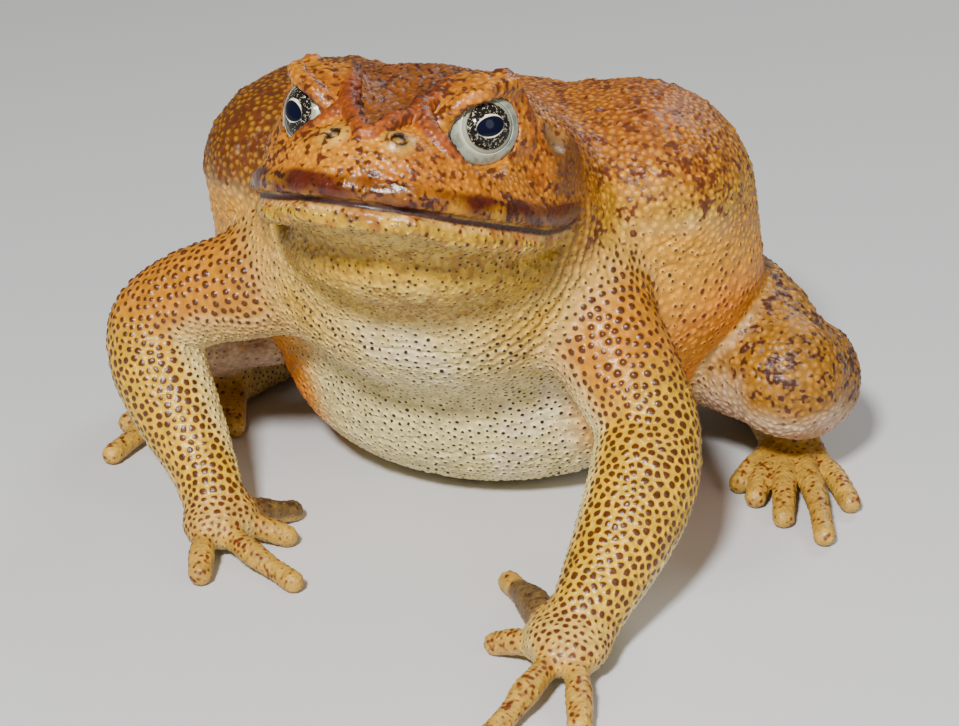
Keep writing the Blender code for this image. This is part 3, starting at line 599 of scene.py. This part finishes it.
# Warts: how far apart they stand over the body
spacing = by_zone(1.7, [
    (1.75, under * share["trunk"]),
    (2.1, flank),
    (1.45, on_head),
    (1.2, on_head * step_up(head_s, 26, 38)),
    (1.4, throat),
    (1.75 + 0.35 * step_up(points[:, 2], 38, 56), share["arm"] * (1 - under)),
    (1.35, under * arms),
    (1.7, legs),
    (1.5, palms),
    (1.25, digits)])
spacing *= 1 + 0.2 * small_patches
SCATTER, NO_NEARER = 0.12, 0.93
tangent_shift = RNG.normal(size=(count, 3)) * SCATTER
scattered = points + tangent_shift - normals * (tangent_shift * normals).sum(1)[:, None]


def tree_of(places):
    tree = kdtree.KDTree(len(places))
    for n, place in enumerate(places):
        tree.insert(place, n)
    tree.balance()
    return tree


# Warts are spread at random, none nearer to another than its spacing allows
tree = tree_of(scattered)
free = np.ones(count, bool)
chosen = []
for n in RNG.permutation(count):
    if free[n]:
        chosen.append(n)
        for _, m, _ in tree.find_range(scattered[n], spacing[n] * NO_NEARER):
            free[m] = False
chosen = np.array(chosen)
# at each point: how far its own wart's middle and the border with the next wart are
tree = tree_of(scattered[chosen])
nearest = np.empty(count)
border = np.empty(count)
which = np.empty(count, int)
for n, spot in enumerate(points):
    found = tree.find_n(spot, 2)
    nearest[n] = found[0][2]
    border[n] = (found[1][2] - found[0][2]) * 0.5
    which[n] = found[0][1]
lot = RNG.random(len(chosen))[which]
size = spacing[chosen][which]

# The wart in each cell: depth > 0 is the dark part, in millimetres
net_style = np.clip(share["arm"] * (1 - under) * 1.3 + share["hand"] * 0.9 * (1 - under) +
                    share["foot"] * 0.5 + digits * 0.45 * (1 - under), 0, 1)
back = body * (1 - under)
speckle = noise(points, 0.75, 21)
# hands and arms have plates in a pale network
net_width = 0.27 + 0.05 * rough_patches + 0.34 * (lot - 0.5)
net_depth = border - net_width + 0.06 * speckle
# on the upper arms they are round beads instead
beaded = share["arm"] * step_up(points[:, 2] + 5 * rough_patches, 34, 52)
bead_radius = size * (towards(0.56, 0.40, beaded) + 0.22 * (lot - 0.5))
net_depth = np.minimum(net_depth, bead_radius - nearest + 0.06 * speckle)
# the back and head have ragged marks, in loose groups
marks = 0.85 * speckle + 0.5 * noise(points, 1.7, 22) + 0.25 * noise(points, 6.5, 23)
marks = marks + 0.15 * rough_patches
cell_depth = 0.5 * (marks + 0.4 * (lot - 0.5) - towards(0.19, 0.24, on_head))
# the underside, flanks and throat have a dot at most in each cell
dot_radius = size * towards(0.3 * (lot - 0.6), 0.22 + 0.08 * lot, under)
dot_radius = towards(dot_radius, size * (0.16 + 0.35 * (lot - 0.42)), flank)
dot_radius = towards(dot_radius, size * (0.22 + 0.2 * (lot - 0.5)), throat)
dot_radius = towards(dot_radius, size * (0.18 + 0.8 * (lot - 0.75)), legs * under)
dot_depth = dot_radius - nearest
plain = np.clip(under + flank + throat * (1 - 0.5 * step_up(over_mouth, -9, -5)), 0, 1)
depth = towards(np.maximum(cell_depth, dot_depth), dot_depth, plain)
depth = towards(depth, net_depth, net_style)

# The wart's height: flat-topped plates, granules and beads
plateau = np.clip((border - 0.10) / 0.76, 0, 1)
plateau = np.sqrt(1 - (1 - plateau) ** 2)
dome = np.clip(1 - (nearest / (0.52 * size)) ** 2, 0, 1)
dome = dome * dome * (3 - 2 * dome)
GRANULE, PLATE, BEAD = 0.34, 0.48, 0.7
uneven = 0.6 + 0.8 * lot
height = towards(dome * GRANULE * uneven, plateau * PLATE * uneven, net_style)
height = towards(height, dome * BEAD * uneven, beaded * (1 - 0.6 * under))
strength = by_zone(0.7, [(0.9, under), (0.9, flank), (0.7, on_head), (1.0, throat), (0.45, digits)])

# Larger warts over the back and thighs, the middles of two at least this far apart
BIG_APART = 7.5
big = np.zeros(count)
tree = tree_of(points)
bumpy = (body * step_up(points[:, 2], 40, 75) + 0.7 * legs) * (1 - under)
bumpy *= step_up(points[:, 1], -66, -48)
free = np.ones(count, bool)
for n in RNG.permutation(count)[:count // 3]:
    if free[n] and bumpy[n] > 0.35:
        radius = 1.6 + 2.2 * RNG.random() ** 2
        lift = (0.2 + 0.2 * radius) * bumpy[n] * (0.4 + 0.6 * RNG.random())
        for _, m, far in tree.find_range(points[n], BIG_APART):
            free[m] = False
            if far < radius:
                big[m] = max(big[m], lift * (1 - (far / radius) ** 2) ** 1.5)

# Lips, eardrums, nostrils and eye sockets are smooth
lip_line = np.abs(over_mouth - 1.6)
lip = on_head * step_up(-lip_line + 0.5 * small_patches, -3.9, -2.2) * step_up(head_s, -6, 2)
lower_lip = on_head * step_up(over_mouth, -3.6, -2.4) * step_up(-over_mouth, 0.2, 1.2)
lower_lip *= step_up(head_s, -4, 4)
smooth = np.clip(lip * 0.75 + lower_lip * 0.6, 0, 1)


def from_either(place):
    """How far each point is from a place on the head or from its mirror image."""
    return np.min([np.linalg.norm(points - on_side(side, place), axis=1) for side in SIDES.values()], axis=0)


eardrum = step_up(EAR_RADIUS - from_either(EAR), -0.5, 0.0)
smooth = np.clip(smooth + eardrum, 0, 1)
nose_near = from_either(NOSTRIL)
smooth = np.clip(smooth + step_up(-nose_near, -4.4, -2.6), 0, 1)
ridges = [ridge for side in SIDES.values()
          for ridge in (canthal_chain(side, 2), eye_chain(side, FRONT_RIDGE), eye_chain(side, REAR_RIDGE))]
ridge_near = np.min([form_distance(ridge, points) for ridge in ridges], axis=0)
on_ridge = on_head * step_up(-ridge_near, -0.9, 0.0)
# the crown lies between the two ridges
ridge_s, ridge_l = np.array(CANTHAL_RIDGE[::-1]).T[:2]
ridge_line = np.interp(head_s, ridge_s, ridge_l)
crown = on_head * step_up(over_mouth, 14, 18) * step_up(ridge_line - np.abs(head_l), -1.5, 1.0)
socket = step_up(LID_RADIUS - from_either(EYE), -0.9, -0.2)
smooth = np.clip(smooth + socket, 0, 1)
floor_contact = step_up(-points[:, 2], -1.2, -0.2)
lift = (height * strength + big) * (1 - smooth) * (1 - floor_contact)

# Folds: soft skin creases at the throat, armpits and flanks
FOLD_DEPTH, WRINKLE_DEPTH, WRINKLE_APART = 0.55, 0.4, 2.5
FOLD_STRETCH = np.array([0.6, 1.0, 1.6])
fold = -FOLD_DEPTH * (1 - step_up(np.abs(noise(points * FOLD_STRETCH, 5.0, 8)), 0.0, 0.22))
fold_where = body * (0.25 + 0.5 * under) + 0.5 * throat + 0.3 * arms + 0.45 * legs
lift += fold * fold_where * (1 - floor_contact) * (1 - smooth)
# and the wrinkles that run round the throat from behind the mouth's corners
round_throat = np.linalg.norm(points - head_point(20, 0, -5), axis=1)
wrinkle = 0.5 + 0.5 * np.cos(round_throat * (2 * math.pi / WRINKLE_APART) + 1.6 * rough_patches)
wrinkled = step_up(round_throat, 33, 37) * step_up(-round_throat, -54, -44) * step_up(np.abs(head_l), 12, 20)
wrinkled *= step_up(-over_mouth, -7, -1) * (1 - arms) * (1 - smooth)
lift -= WRINKLE_DEPTH * wrinkle * wrinkled
# the crown is creased, and its ridges stand up
crown_crease = crown * (1 - step_up(np.abs(noise(points, 2.4, 51)), 0.0, 0.28))
RIDGE_RISE, CROWN_CREASE_DEPTH = 0.35, 0.45
lift += RIDGE_RISE * on_ridge - CROWN_CREASE_DEPTH * crown_crease
points = points + normals * lift[:, None]
points[:, 2] = np.maximum(points[:, 2], 0.0)
mesh.vertices.foreach_set("co", ((points - ORIGIN) * MM).astype(np.float32).ravel())
mesh.update()
mesh.shade_smooth()

# Colours, as the ground between the warts and the warts themselves, with painted shade and painted light
# mixed into them
SATURATION, PIGMENT = 1.34, 0.88


def linear(red, green, blue):
    """A pigment from its screen values, a little deeper than they are."""
    c = np.array([red, green, blue]) / 255.0
    c = np.where(c > 0.04045, ((c + 0.055) / 1.055) ** 2.4, c / 12.92)
    grey = c @ np.array([0.3, 0.6, 0.1])
    return np.clip(grey + SATURATION * (c - grey), 0.002, 1) * PIGMENT


def paint(colours, red, green, blue, weight):
    """Blends a pigment into the points' colours, by a weight of 0 to 1 at each point."""
    weight = np.clip(weight, 0, 1)[:, None]
    colours += (linear(red, green, blue) - colours) * weight


relief = np.clip(towards(dome, plateau, net_style), 0, 1)
# the back, darker high up, and with painted shade over its right side
ground = np.tile(linear(182, 118, 18), (count, 1))
wart = np.tile(linear(88, 48, 6), (count, 1))
paint(ground, 208, 166, 70, 0.5 + 0.7 * rough_patches)
high = step_up(points[:, 2] + 8 * rough_patches, 80, 98)
paint(ground, 160, 86, 22, back * high * 0.8)
# painted shade: the back's right side is darkened
paint(ground, 104, 60, 14, back * step_up(-points[:, 0] + 8 * rough_patches, 16, 40) * 0.9)
# lighter granule tops over the back: partly their own paler colour, partly painted light on the tops
paint(ground, 218, 176, 84, back * relief * 0.3)
# the orange flanks with their pale rings
paint(ground, 246, 160, 10, flank)
paint(wart, 104, 46, 16, flank)
paint(ground, 236, 208, 140, flank * step_up(-nearest / size, -0.4, -0.2) * step_up(lot, 0.35, 0.6) * 0.7)
# the arms, deeper towards the shoulder
paint(ground, 204, 168, 94, share["arm"] * 1.2)
paint(ground, 172, 114, 42, share["arm"] * step_up(points[:, 2] + 8 * rough_patches, 34, 56) * 0.85)
paint(wart, 80, 46, 8, share["arm"])
# the underside and throat
paint(ground, 250, 234, 182, under)
paint(wart, 26, 16, 10, under)
paint(ground, 246, 230, 196, under * share["trunk"] * step_up(small_patches + rough_patches, 0.1, 0.9) * 0.8)
paint(ground, 198, 164, 84, throat * 0.85)
paint(ground, 138, 96, 40, throat * step_up(marks, -0.15, 0.45) * 0.65)
# golden skin at the sides of the chest, with pale rings, and across it
sides = body * step_up(np.abs(points[:, 0]) + 4 * rough_patches, 27, 42)
side_skin = sides * step_up(np.maximum(under, flank), 0.05, 0.5)
paint(ground, 228, 168, 20, side_skin * 0.95)
paint(ground, 246, 220, 150,
      side_skin * step_up(-nearest / size, -0.36, -0.2) * step_up(lot, 0.5, 0.65) * 0.6)
paint(ground, 178, 122, 50, share["arm"] * under * step_up(points[:, 2], 34, 54) * 0.85)
necklace = under * share["trunk"] * (1 - on_head) * step_up(points[:, 2], 36, 64) * (1 - sides)
paint(ground, 234, 186, 80, necklace * step_up(np.abs(points[:, 0]) + 4 * rough_patches, 0, 24) * 0.9)
paint(ground, 226, 144, 4, sides * flank * step_up(-points[:, 2] + 6 * rough_patches, -68, -46) * 0.8)
# the shade in the fold under the chin
paint(wart, 40, 24, 8, throat)
chin_line = form_distance(mouth_chain(CHIN_FOLD), points)
in_fold = throat * step_up(-chin_line, -1.6, 0.2) * step_up(-head_l, -14, 6) * step_up(head_s, 2, 9)
paint(ground, 84, 54, 22, in_fold * 0.8)
# hands, feet, digits and legs
paint(ground, 206, 182, 124, palms * 0.85)
paint(wart, 78, 38, 16, palms)
paint(ground, 200, 164, 104, digits)
paint(wart, 96, 48, 20, digits)
paint(ground, 168, 122, 60, legs * (1 - under))
paint(wart, 60, 30, 14, legs * (1 - under))
paint(ground, 206, 176, 152, legs * under)
paint(wart, 130, 88, 68, legs * under)
# the head above the mouth: blotches, painted shade behind the eye, eardrum, crown, ridges, and nostrils with
# painted shade inside
on_top = on_head * step_up(over_mouth, 2, 5)
paint(ground, 178, 116, 20, on_top)
paint(wart, 82, 44, 6, on_top)
# lighter granule tops on the head: partly their own paler colour, partly painted light on the tops
paint(ground, 212, 158, 56, on_top * relief * (0.3 + 0.4 * small_patches))
blotches = step_up(noise(points, 7, 41) + 0.4 * small_patches, 0.1, 0.5)
paint(ground, 128, 66, 18, on_top * blotches * 0.5)
# painted shade behind the eye
shade_behind_eye = on_top * step_up(-head_s, -13, -8) * step_up(over_mouth, 3, 8) * step_up(-over_mouth, -20, -15)
shade_behind_eye *= step_up(head_s, -10, -3)
paint(ground, 82, 52, 24, shade_behind_eye * (0.7 + 0.3 * small_patches))
paint(ground, 112, 92, 68, eardrum * 0.8)
paint(ground, 200, 144, 44, on_top * step_up(rough_patches, -0.3, 0.6) * 0.5)
paint(ground, 126, 76, 40, crown * 0.85)
paint(wart, 58, 28, 16, crown)
paint(ground, 128, 58, 22, on_ridge * 0.75)
nose_rim = on_head * step_up(-nose_near, -4.2, -2.8)
paint(ground, 164, 146, 96, nose_rim * 0.5)
# painted shade inside the nostrils
nostril_shade = on_head * step_up(-nose_near, -2.0, -1.6)
paint(ground, 22, 10, 5, nostril_shade)
paint(wart, 22, 10, 5, nostril_shade)
# the lips, and painted shade in the line between them
paint(ground, 72, 32, 6, lip * (0.75 + 0.5 * small_patches + 0.5 * step_up(-head_s, -22, -8)))
paint(wart, 52, 24, 6, lip)
paint(ground, 206, 168, 120, lower_lip * 0.7)
paint(ground, 130, 82, 38, lower_lip * step_up(marks, 0.0, 0.5) * 0.7)
below_lip = throat * step_up(over_mouth, -7, -5)
paint(ground, 150, 84, 34, below_lip * step_up(noise(points, 3, 42), 0.0, 0.5) * 0.6)
paint(wart, 96, 52, 24, lower_lip)
# painted shade along the mouth's slit
mouth_crease_shade = on_head * step_up(-np.abs(over_mouth + 1.0), -0.9, -0.4) * step_up(head_s, -2, 2)
paint(ground, 44, 18, 8, mouth_crease_shade)
paint(wart, 44, 18, 8, mouth_crease_shade)
# the thumbs' dark pads
for tag, side in SIDES.items():
    thumb = form_distance(chain(ARMS[tag]["finger_1"][:4], 2), points)
    pad = step_up(-thumb, -1.0, 0.2) * step_up(normals[:, 2] - 0.3 * side * normals[:, 0], -0.3, 0.3)
    paint(ground, 66, 50, 42, pad * 0.9)
    paint(wart, 48, 36, 32, pad)
# painted shade: the hollows between granules, the wrinkles and the creases are darkened
hollow_shade = (1 - relief) * (1 - smooth) * (1 - net_style) * (1 - 0.3 * plain) * (1 - 0.4 * on_head)
ground *= (1 - 0.42 * hollow_shade)[:, None]
ground *= (1 - 0.35 * wrinkle * wrinkled)[:, None]
ground *= (1 - 0.4 * crown_crease)[:, None]
# tone uneven at random, and the larger warts' darker tops
ground *= (1 + 0.10 * small_patches + 0.10 * rough_patches)[:, None]
paint(ground, 96, 50, 24, step_up(big, 0.25, 0.8) * 0.35)


def store(name, kind, values):
    attribute = mesh.attributes.new(name, kind, "POINT")
    if kind == "FLOAT":
        attribute.data.foreach_set("value", values.astype(np.float32))
    else:
        rgba = np.ones((count, 4), np.float32)
        rgba[:, :3] = np.clip(values, 0, 1)
        attribute.data.foreach_set("color", rgba.ravel())


store("ground", "FLOAT_COLOR", ground)
store("wart", "FLOAT_COLOR", wart)
store("depth", "FLOAT", depth)
wet = (0.3 + 0.25 * on_head + 0.5 * lip + 0.35 * share["arm"] - 0.1 * under -
       0.9 * mouth_crease_shade - 0.6 * nostril_shade - 0.3 * crown - 0.25 * on_ridge)
store("wet", "FLOAT", np.clip(wet, 0, 1))


# Materials
class Look:
    """A material, and short ways to add the nodes that it needs."""

    def __init__(self, name):
        self.material = bpy.data.materials.new(name)
        self.material.use_nodes = True
        self.nodes, self.links = self.material.node_tree.nodes, self.material.node_tree.links
        self.shader = self.nodes["Principled BSDF"]
        self.where = self.nodes.new("ShaderNodeTexCoord").outputs["Object"]

    def feed(self, node, inputs):
        """Sets a node's inputs, each to a value or to another node's output."""
        for key, value in inputs.items():
            if isinstance(value, bpy.types.NodeSocket):
                self.links.new(value, node.inputs[key])
            else:
                node.inputs[key].default_value = value

    def add(self, kind, inputs, **settings):
        node = self.nodes.new("ShaderNode" + kind)
        for key, value in settings.items():
            setattr(node, key, value)
        self.feed(node, inputs)
        return node

    def attribute(self, name, output="Fac"):
        return self.add("Attribute", {}, attribute_name=name).outputs[output]

    def noise(self, scale, detail=3.0):
        return self.add("TexNoise", {"Scale": scale, "Detail": detail, "Vector": self.where}).outputs["Fac"]

    def ramp(self, source, low, high, to_low=0.0, to_high=1.0):
        inputs = {"Value": source, "From Min": low, "From Max": high, "To Min": to_low, "To Max": to_high}
        return self.add("MapRange", inputs, interpolation_type="SMOOTHSTEP").outputs["Result"]

    def mix(self, factor, a, b, blend="MIX"):
        return self.add("Mix", {0: factor, 6: a, 7: b}, data_type="RGBA", blend_type=blend).outputs[2]

    def math(self, operation, a, b):
        return self.add("Math", {0: a, 1: b}, operation=operation).outputs[0]


def skin_look():
    """Dark warts on their ground, both a little uneven, with fine grain and a wet shine."""
    look = Look("toad_skin")
    dark = look.ramp(look.attribute("depth"), -0.10, 0.16)
    colour = look.mix(dark, look.attribute("ground", "Color"), look.attribute("wart", "Color"))
    shade = look.ramp(look.noise(420.0), 0.3, 0.7, 0.80, 1.16)
    grey = look.add("CombineColor", {"Red": shade, "Green": shade, "Blue": shade})
    grain = look.add("Bump", {"Height": look.noise(1900.0, 2.0), "Strength": 0.45, "Distance": 0.00022})
    look.feed(look.shader, {
        "Base Color": look.mix(1.0, colour, grey.outputs["Color"], "MULTIPLY"),
        "Roughness": look.ramp(look.attribute("wet"), 0.0, 1.0, 0.52, 0.26),
        "Normal": grain.outputs["Normal"],
        "Specular IOR Level": 0.4,
        "Coat Weight": 0.06,
        "Coat Roughness": 0.15})
    return look.material


mesh.materials.clear()
mesh.materials.append(skin_look())

# The eyes: a dark iris with gold flecks, a bright ring round the pupil, and the white beyond the iris
IRIS_RADIUS = 4.8
PUPIL_LONG, PUPIL_HIGH = 3.05, 1.95
IRIS_GROUND, IRIS_FLECK = (0.010, 0.009, 0.008, 1), (0.64, 0.57, 0.38, 1)
RING, PUPIL, EYE_WHITE = (0.80, 0.74, 0.52, 1), (0.003, 0.004, 0.014, 1), (0.30, 0.30, 0.22, 1)
LID_COLOUR, LID_VEIN, LID_RIM = (0.31, 0.35, 0.27, 1), (0.17, 0.19, 0.14, 1), (0.55, 0.54, 0.38, 1)


def eye_look():
    look = Look("toad_eye")
    cells = look.add("TexVoronoi", {"Scale": 2100.0, "Vector": look.where}, feature="DISTANCE_TO_EDGE")
    flecks = look.ramp(look.noise(1500.0, 4.0), 0.52, 0.62)
    threads = look.ramp(cells.outputs["Distance"], 0.02, 0.10, 1.0, 0.0)
    iris = look.mix(look.math("MULTIPLY", flecks, threads), IRIS_GROUND, IRIS_FLECK)
    broken_ring = look.math("ADD", look.attribute("ring"), look.noise(1300.0))
    iris = look.mix(look.ramp(broken_ring, 0.95, 1.1), iris, RING)
    iris = look.mix(look.ramp(look.attribute("pupil"), -0.02, 0.08, 1.0, 0.0), iris, PUPIL)
    outside = look.ramp(look.attribute("across"), IRIS_RADIUS - 0.25, IRIS_RADIUS + 0.1)
    look.feed(look.shader, {
        "Base Color": look.mix(outside, iris, EYE_WHITE),
        "Roughness": 0.10,
        "Specular IOR Level": 0.12,
        "Coat Weight": 0.05,
        "Coat Roughness": 0.03})
    return look.material


def lid_look():
    look = Look("toad_eyelid")
    veins = look.ramp(look.noise(500.0, 4.0), 0.42, 0.62)
    colour = look.mix(veins, LID_COLOUR, LID_VEIN)
    colour = look.mix(look.ramp(look.attribute("rim"), 0.0, 1.0), colour, LID_RIM)
    look.feed(look.shader, {
        "Base Color": colour,
        "Roughness": 0.3,
        "Coat Weight": 0.4,
        "Coat Roughness": 0.12})
    return look.material


# The eyes' and lids' shapes: points per ring, how much thinner a lid is at its edge, over how many degrees
AROUND = 96
EDGE_THINNER, EDGE_SPREAD = 0.68, 24
LID_CLEARANCE = 0.15


def dome_grid(angles, radius_at):
    """Points round the gaze by angle from it, and the quads between the rings."""
    points, faces = [], []
    for angle in angles:
        radius = radius_at(angle)
        ring = radius * math.sin(angle)
        for n in range(AROUND):
            turn = 2 * math.pi * n / AROUND
            points.append((ring * math.cos(turn), radius * math.cos(angle), ring * math.sin(turn)))
    for k in range(len(angles) - 1):
        here, beyond = k * AROUND, (k + 1) * AROUND
        for n in range(AROUND):
            m = (n + 1) % AROUND
            faces.append((here + n, here + m, beyond + m, beyond + n))
    return np.array(points), faces


def lid_radius(angle):
    """The lid is thin at its edge and swells away from it."""
    from_edge = step_up(math.degrees(angle), LID_OPENING, LID_OPENING + EDGE_SPREAD)
    return LID_RADIUS - EDGE_THINNER * (1 - from_edge)


def finish_piece(name, points, faces, material, attributes, body_node):
    mesh = bpy.data.meshes.new(name)
    mesh.from_pydata(((points - ORIGIN) * MM).tolist(), [], faces)
    piece = bpy.data.objects.new(name, mesh)
    bpy.context.scene.collection.objects.link(piece)
    for key, values in attributes.items():
        mesh.attributes.new(key, "FLOAT", "POINT").data.foreach_set("value", np.asarray(values, np.float32))
    mesh.materials.append(material)
    edit_whole(piece, bpy.ops.mesh.normals_make_consistent, inside=False)
    mesh.shade_smooth()
    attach(piece, "root")
    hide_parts(body_node)


def make_eye(tag, side, material):
    angles = np.radians(np.concatenate([np.linspace(0.4, 48, 60), np.linspace(52, 179.5, 28)]))
    local, faces = dome_grid(angles, lambda angle: EYE_RADIUS)
    faces += [tuple(range(AROUND))[::-1], tuple(len(local) - AROUND + n for n in range(AROUND))]
    # iris, pupil and ring are on the front half only
    along, ahead, up = local.T
    from_gaze = np.hypot(along, up)
    across = from_gaze + 9.0 * (ahead < 0)
    pupil = np.hypot(along / PUPIL_LONG, up / PUPIL_HIGH) - 1.0 + 2.0 * (ahead < 0)
    # the bright ring is broad above the pupil, thin below and gone at its ends
    steep = up / (from_gaze + 0.1)
    ring_width = np.where(steep > 0, 0.48 * steep ** 2, 0.26 * steep ** 2) + 0.02
    ring = np.clip(1.15 - np.maximum(pupil, 0) / ring_width, 0, 1) * (pupil > -0.06)
    finish_piece("toad_eye_" + tag, eye_centre(side) + local @ eye_axes(side).T, faces, material,
                 {"across": across, "pupil": pupil, "ring": ring}, "eye_" + tag)


def make_lid(tag, side, material):
    """A shell round the eye, open at the front and back, its two skins joined at both edges."""
    angles = np.radians(np.linspace(LID_OPENING, LID_END, 40))
    outer, faces = dome_grid(angles, lid_radius)
    inner, inner_faces = dome_grid(angles, lambda angle: EYE_RADIUS + LID_CLEARANCE)
    shift = len(outer)
    faces += [tuple(i + shift for i in face[::-1]) for face in inner_faces]
    last = shift - AROUND
    for n in range(AROUND):
        m = (n + 1) % AROUND
        faces.append((n, m, m + shift, n + shift))
        faces.append((last + m, last + n, last + n + shift, last + m + shift))
    both = np.vstack([outer, inner])
    off_gaze = np.degrees(np.arctan2(np.hypot(both[:, 0], both[:, 2]), both[:, 1]))
    rim = np.clip(1 - (off_gaze - LID_OPENING) / 9, 0, 1) * np.clip(0.4 - 0.12 * both[:, 0], 0, 1)
    finish_piece("toad_eyelid_" + tag, eye_centre(side) + both @ eye_axes(side).T, faces, material,
                 {"rim": rim}, "eyelid_" + tag)


eye_material, lid_material = eye_look(), lid_look()
for tag, side in SIDES.items():
    make_eye(tag, side, eye_material)
    make_lid(tag, side, lid_material)

# The skin stands for every other node
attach(skin, "root")
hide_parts(*[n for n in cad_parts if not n.startswith(("eye_", "eyelid_"))])

# Floor, lights and camera, in metres from here on
FLOOR_SIZE, FLOOR_BELOW = 8.0, 0.0004
FLOOR_COLOUR = (0.62, 0.62, 0.62, 1)
AIR_COLOUR, AIR_LIGHT = (1.0, 0.95, 0.88, 1), 0.20
LAMPS_AIM = Vector((0.0, -0.06, 0.06))
# name: place, size, watts
LAMPS = {"key": ((0.03, -0.90, 0.74), 0.13, 23.0),
         "fill": ((0.8, -0.6, 0.5), 0.5, 2.0),
         "rim": ((0.3, 0.8, 0.8), 0.4, 4.0)}

bpy.ops.mesh.primitive_plane_add(size=FLOOR_SIZE, location=(0, 0, -FLOOR_BELOW))
floor = bpy.context.object
floor.name = "studio_floor"
floor_look = Look("studio_floor")
floor_look.feed(floor_look.shader, {"Base Color": FLOOR_COLOUR, "Roughness": 0.7})
floor.data.materials.append(floor_look.material)

world = bpy.data.worlds.new("studio")
bpy.context.scene.world = world
world.use_nodes = True
air = world.node_tree.nodes["Background"]
air.inputs["Color"].default_value = AIR_COLOUR
air.inputs["Strength"].default_value = AIR_LIGHT

for name, (place, size, power) in LAMPS.items():
    lamp = bpy.data.lights.new(name, "AREA")
    lamp.energy = power
    lamp.size = size
    lamp.shape = "DISK"
    holder = bpy.data.objects.new(name, lamp)
    bpy.context.scene.collection.objects.link(holder)
    holder.location = place
    holder.rotation_euler = (LAMPS_AIM - holder.location).to_track_quat("-Z", "Y").to_euler()

# The photo's framing, in pixels: its size, and where the point between the eyes is seen
PHOTO_WIDTH, PHOTO_HEIGHT = 959, 726
SEEN_X, SEEN_Y = 390, 118
AZIMUTH = ELEVATION = math.radians(17.0)
BETWEEN_EYES = Vector((0.0, -0.088, 0.110))
DISTANCE, PIXELS_PER_M = 0.52, 4900.0
SENSOR_WIDTH = 36
focal = DISTANCE * PIXELS_PER_M
level = math.cos(ELEVATION)
outward = Vector((math.sin(AZIMUTH) * level, -math.cos(AZIMUTH) * level, math.sin(ELEVATION)))
right = Vector((math.cos(AZIMUTH), math.sin(AZIMUTH), 0))
above = outward.cross(right)
aim = right * ((PHOTO_WIDTH / 2 - SEEN_X) / focal) + above * ((SEEN_Y - PHOTO_HEIGHT / 2) / focal) - outward
camera_data = bpy.data.cameras.new("camera")
camera_data.lens = SENSOR_WIDTH * focal / PHOTO_WIDTH
camera_data.clip_start = 0.01
camera = bpy.data.objects.new("camera", camera_data)
bpy.context.scene.collection.objects.link(camera)
bpy.context.scene.camera = camera
camera.location = BETWEEN_EYES + outward * DISTANCE
camera.rotation_euler = aim.to_track_quat("-Z", "Y").to_euler()
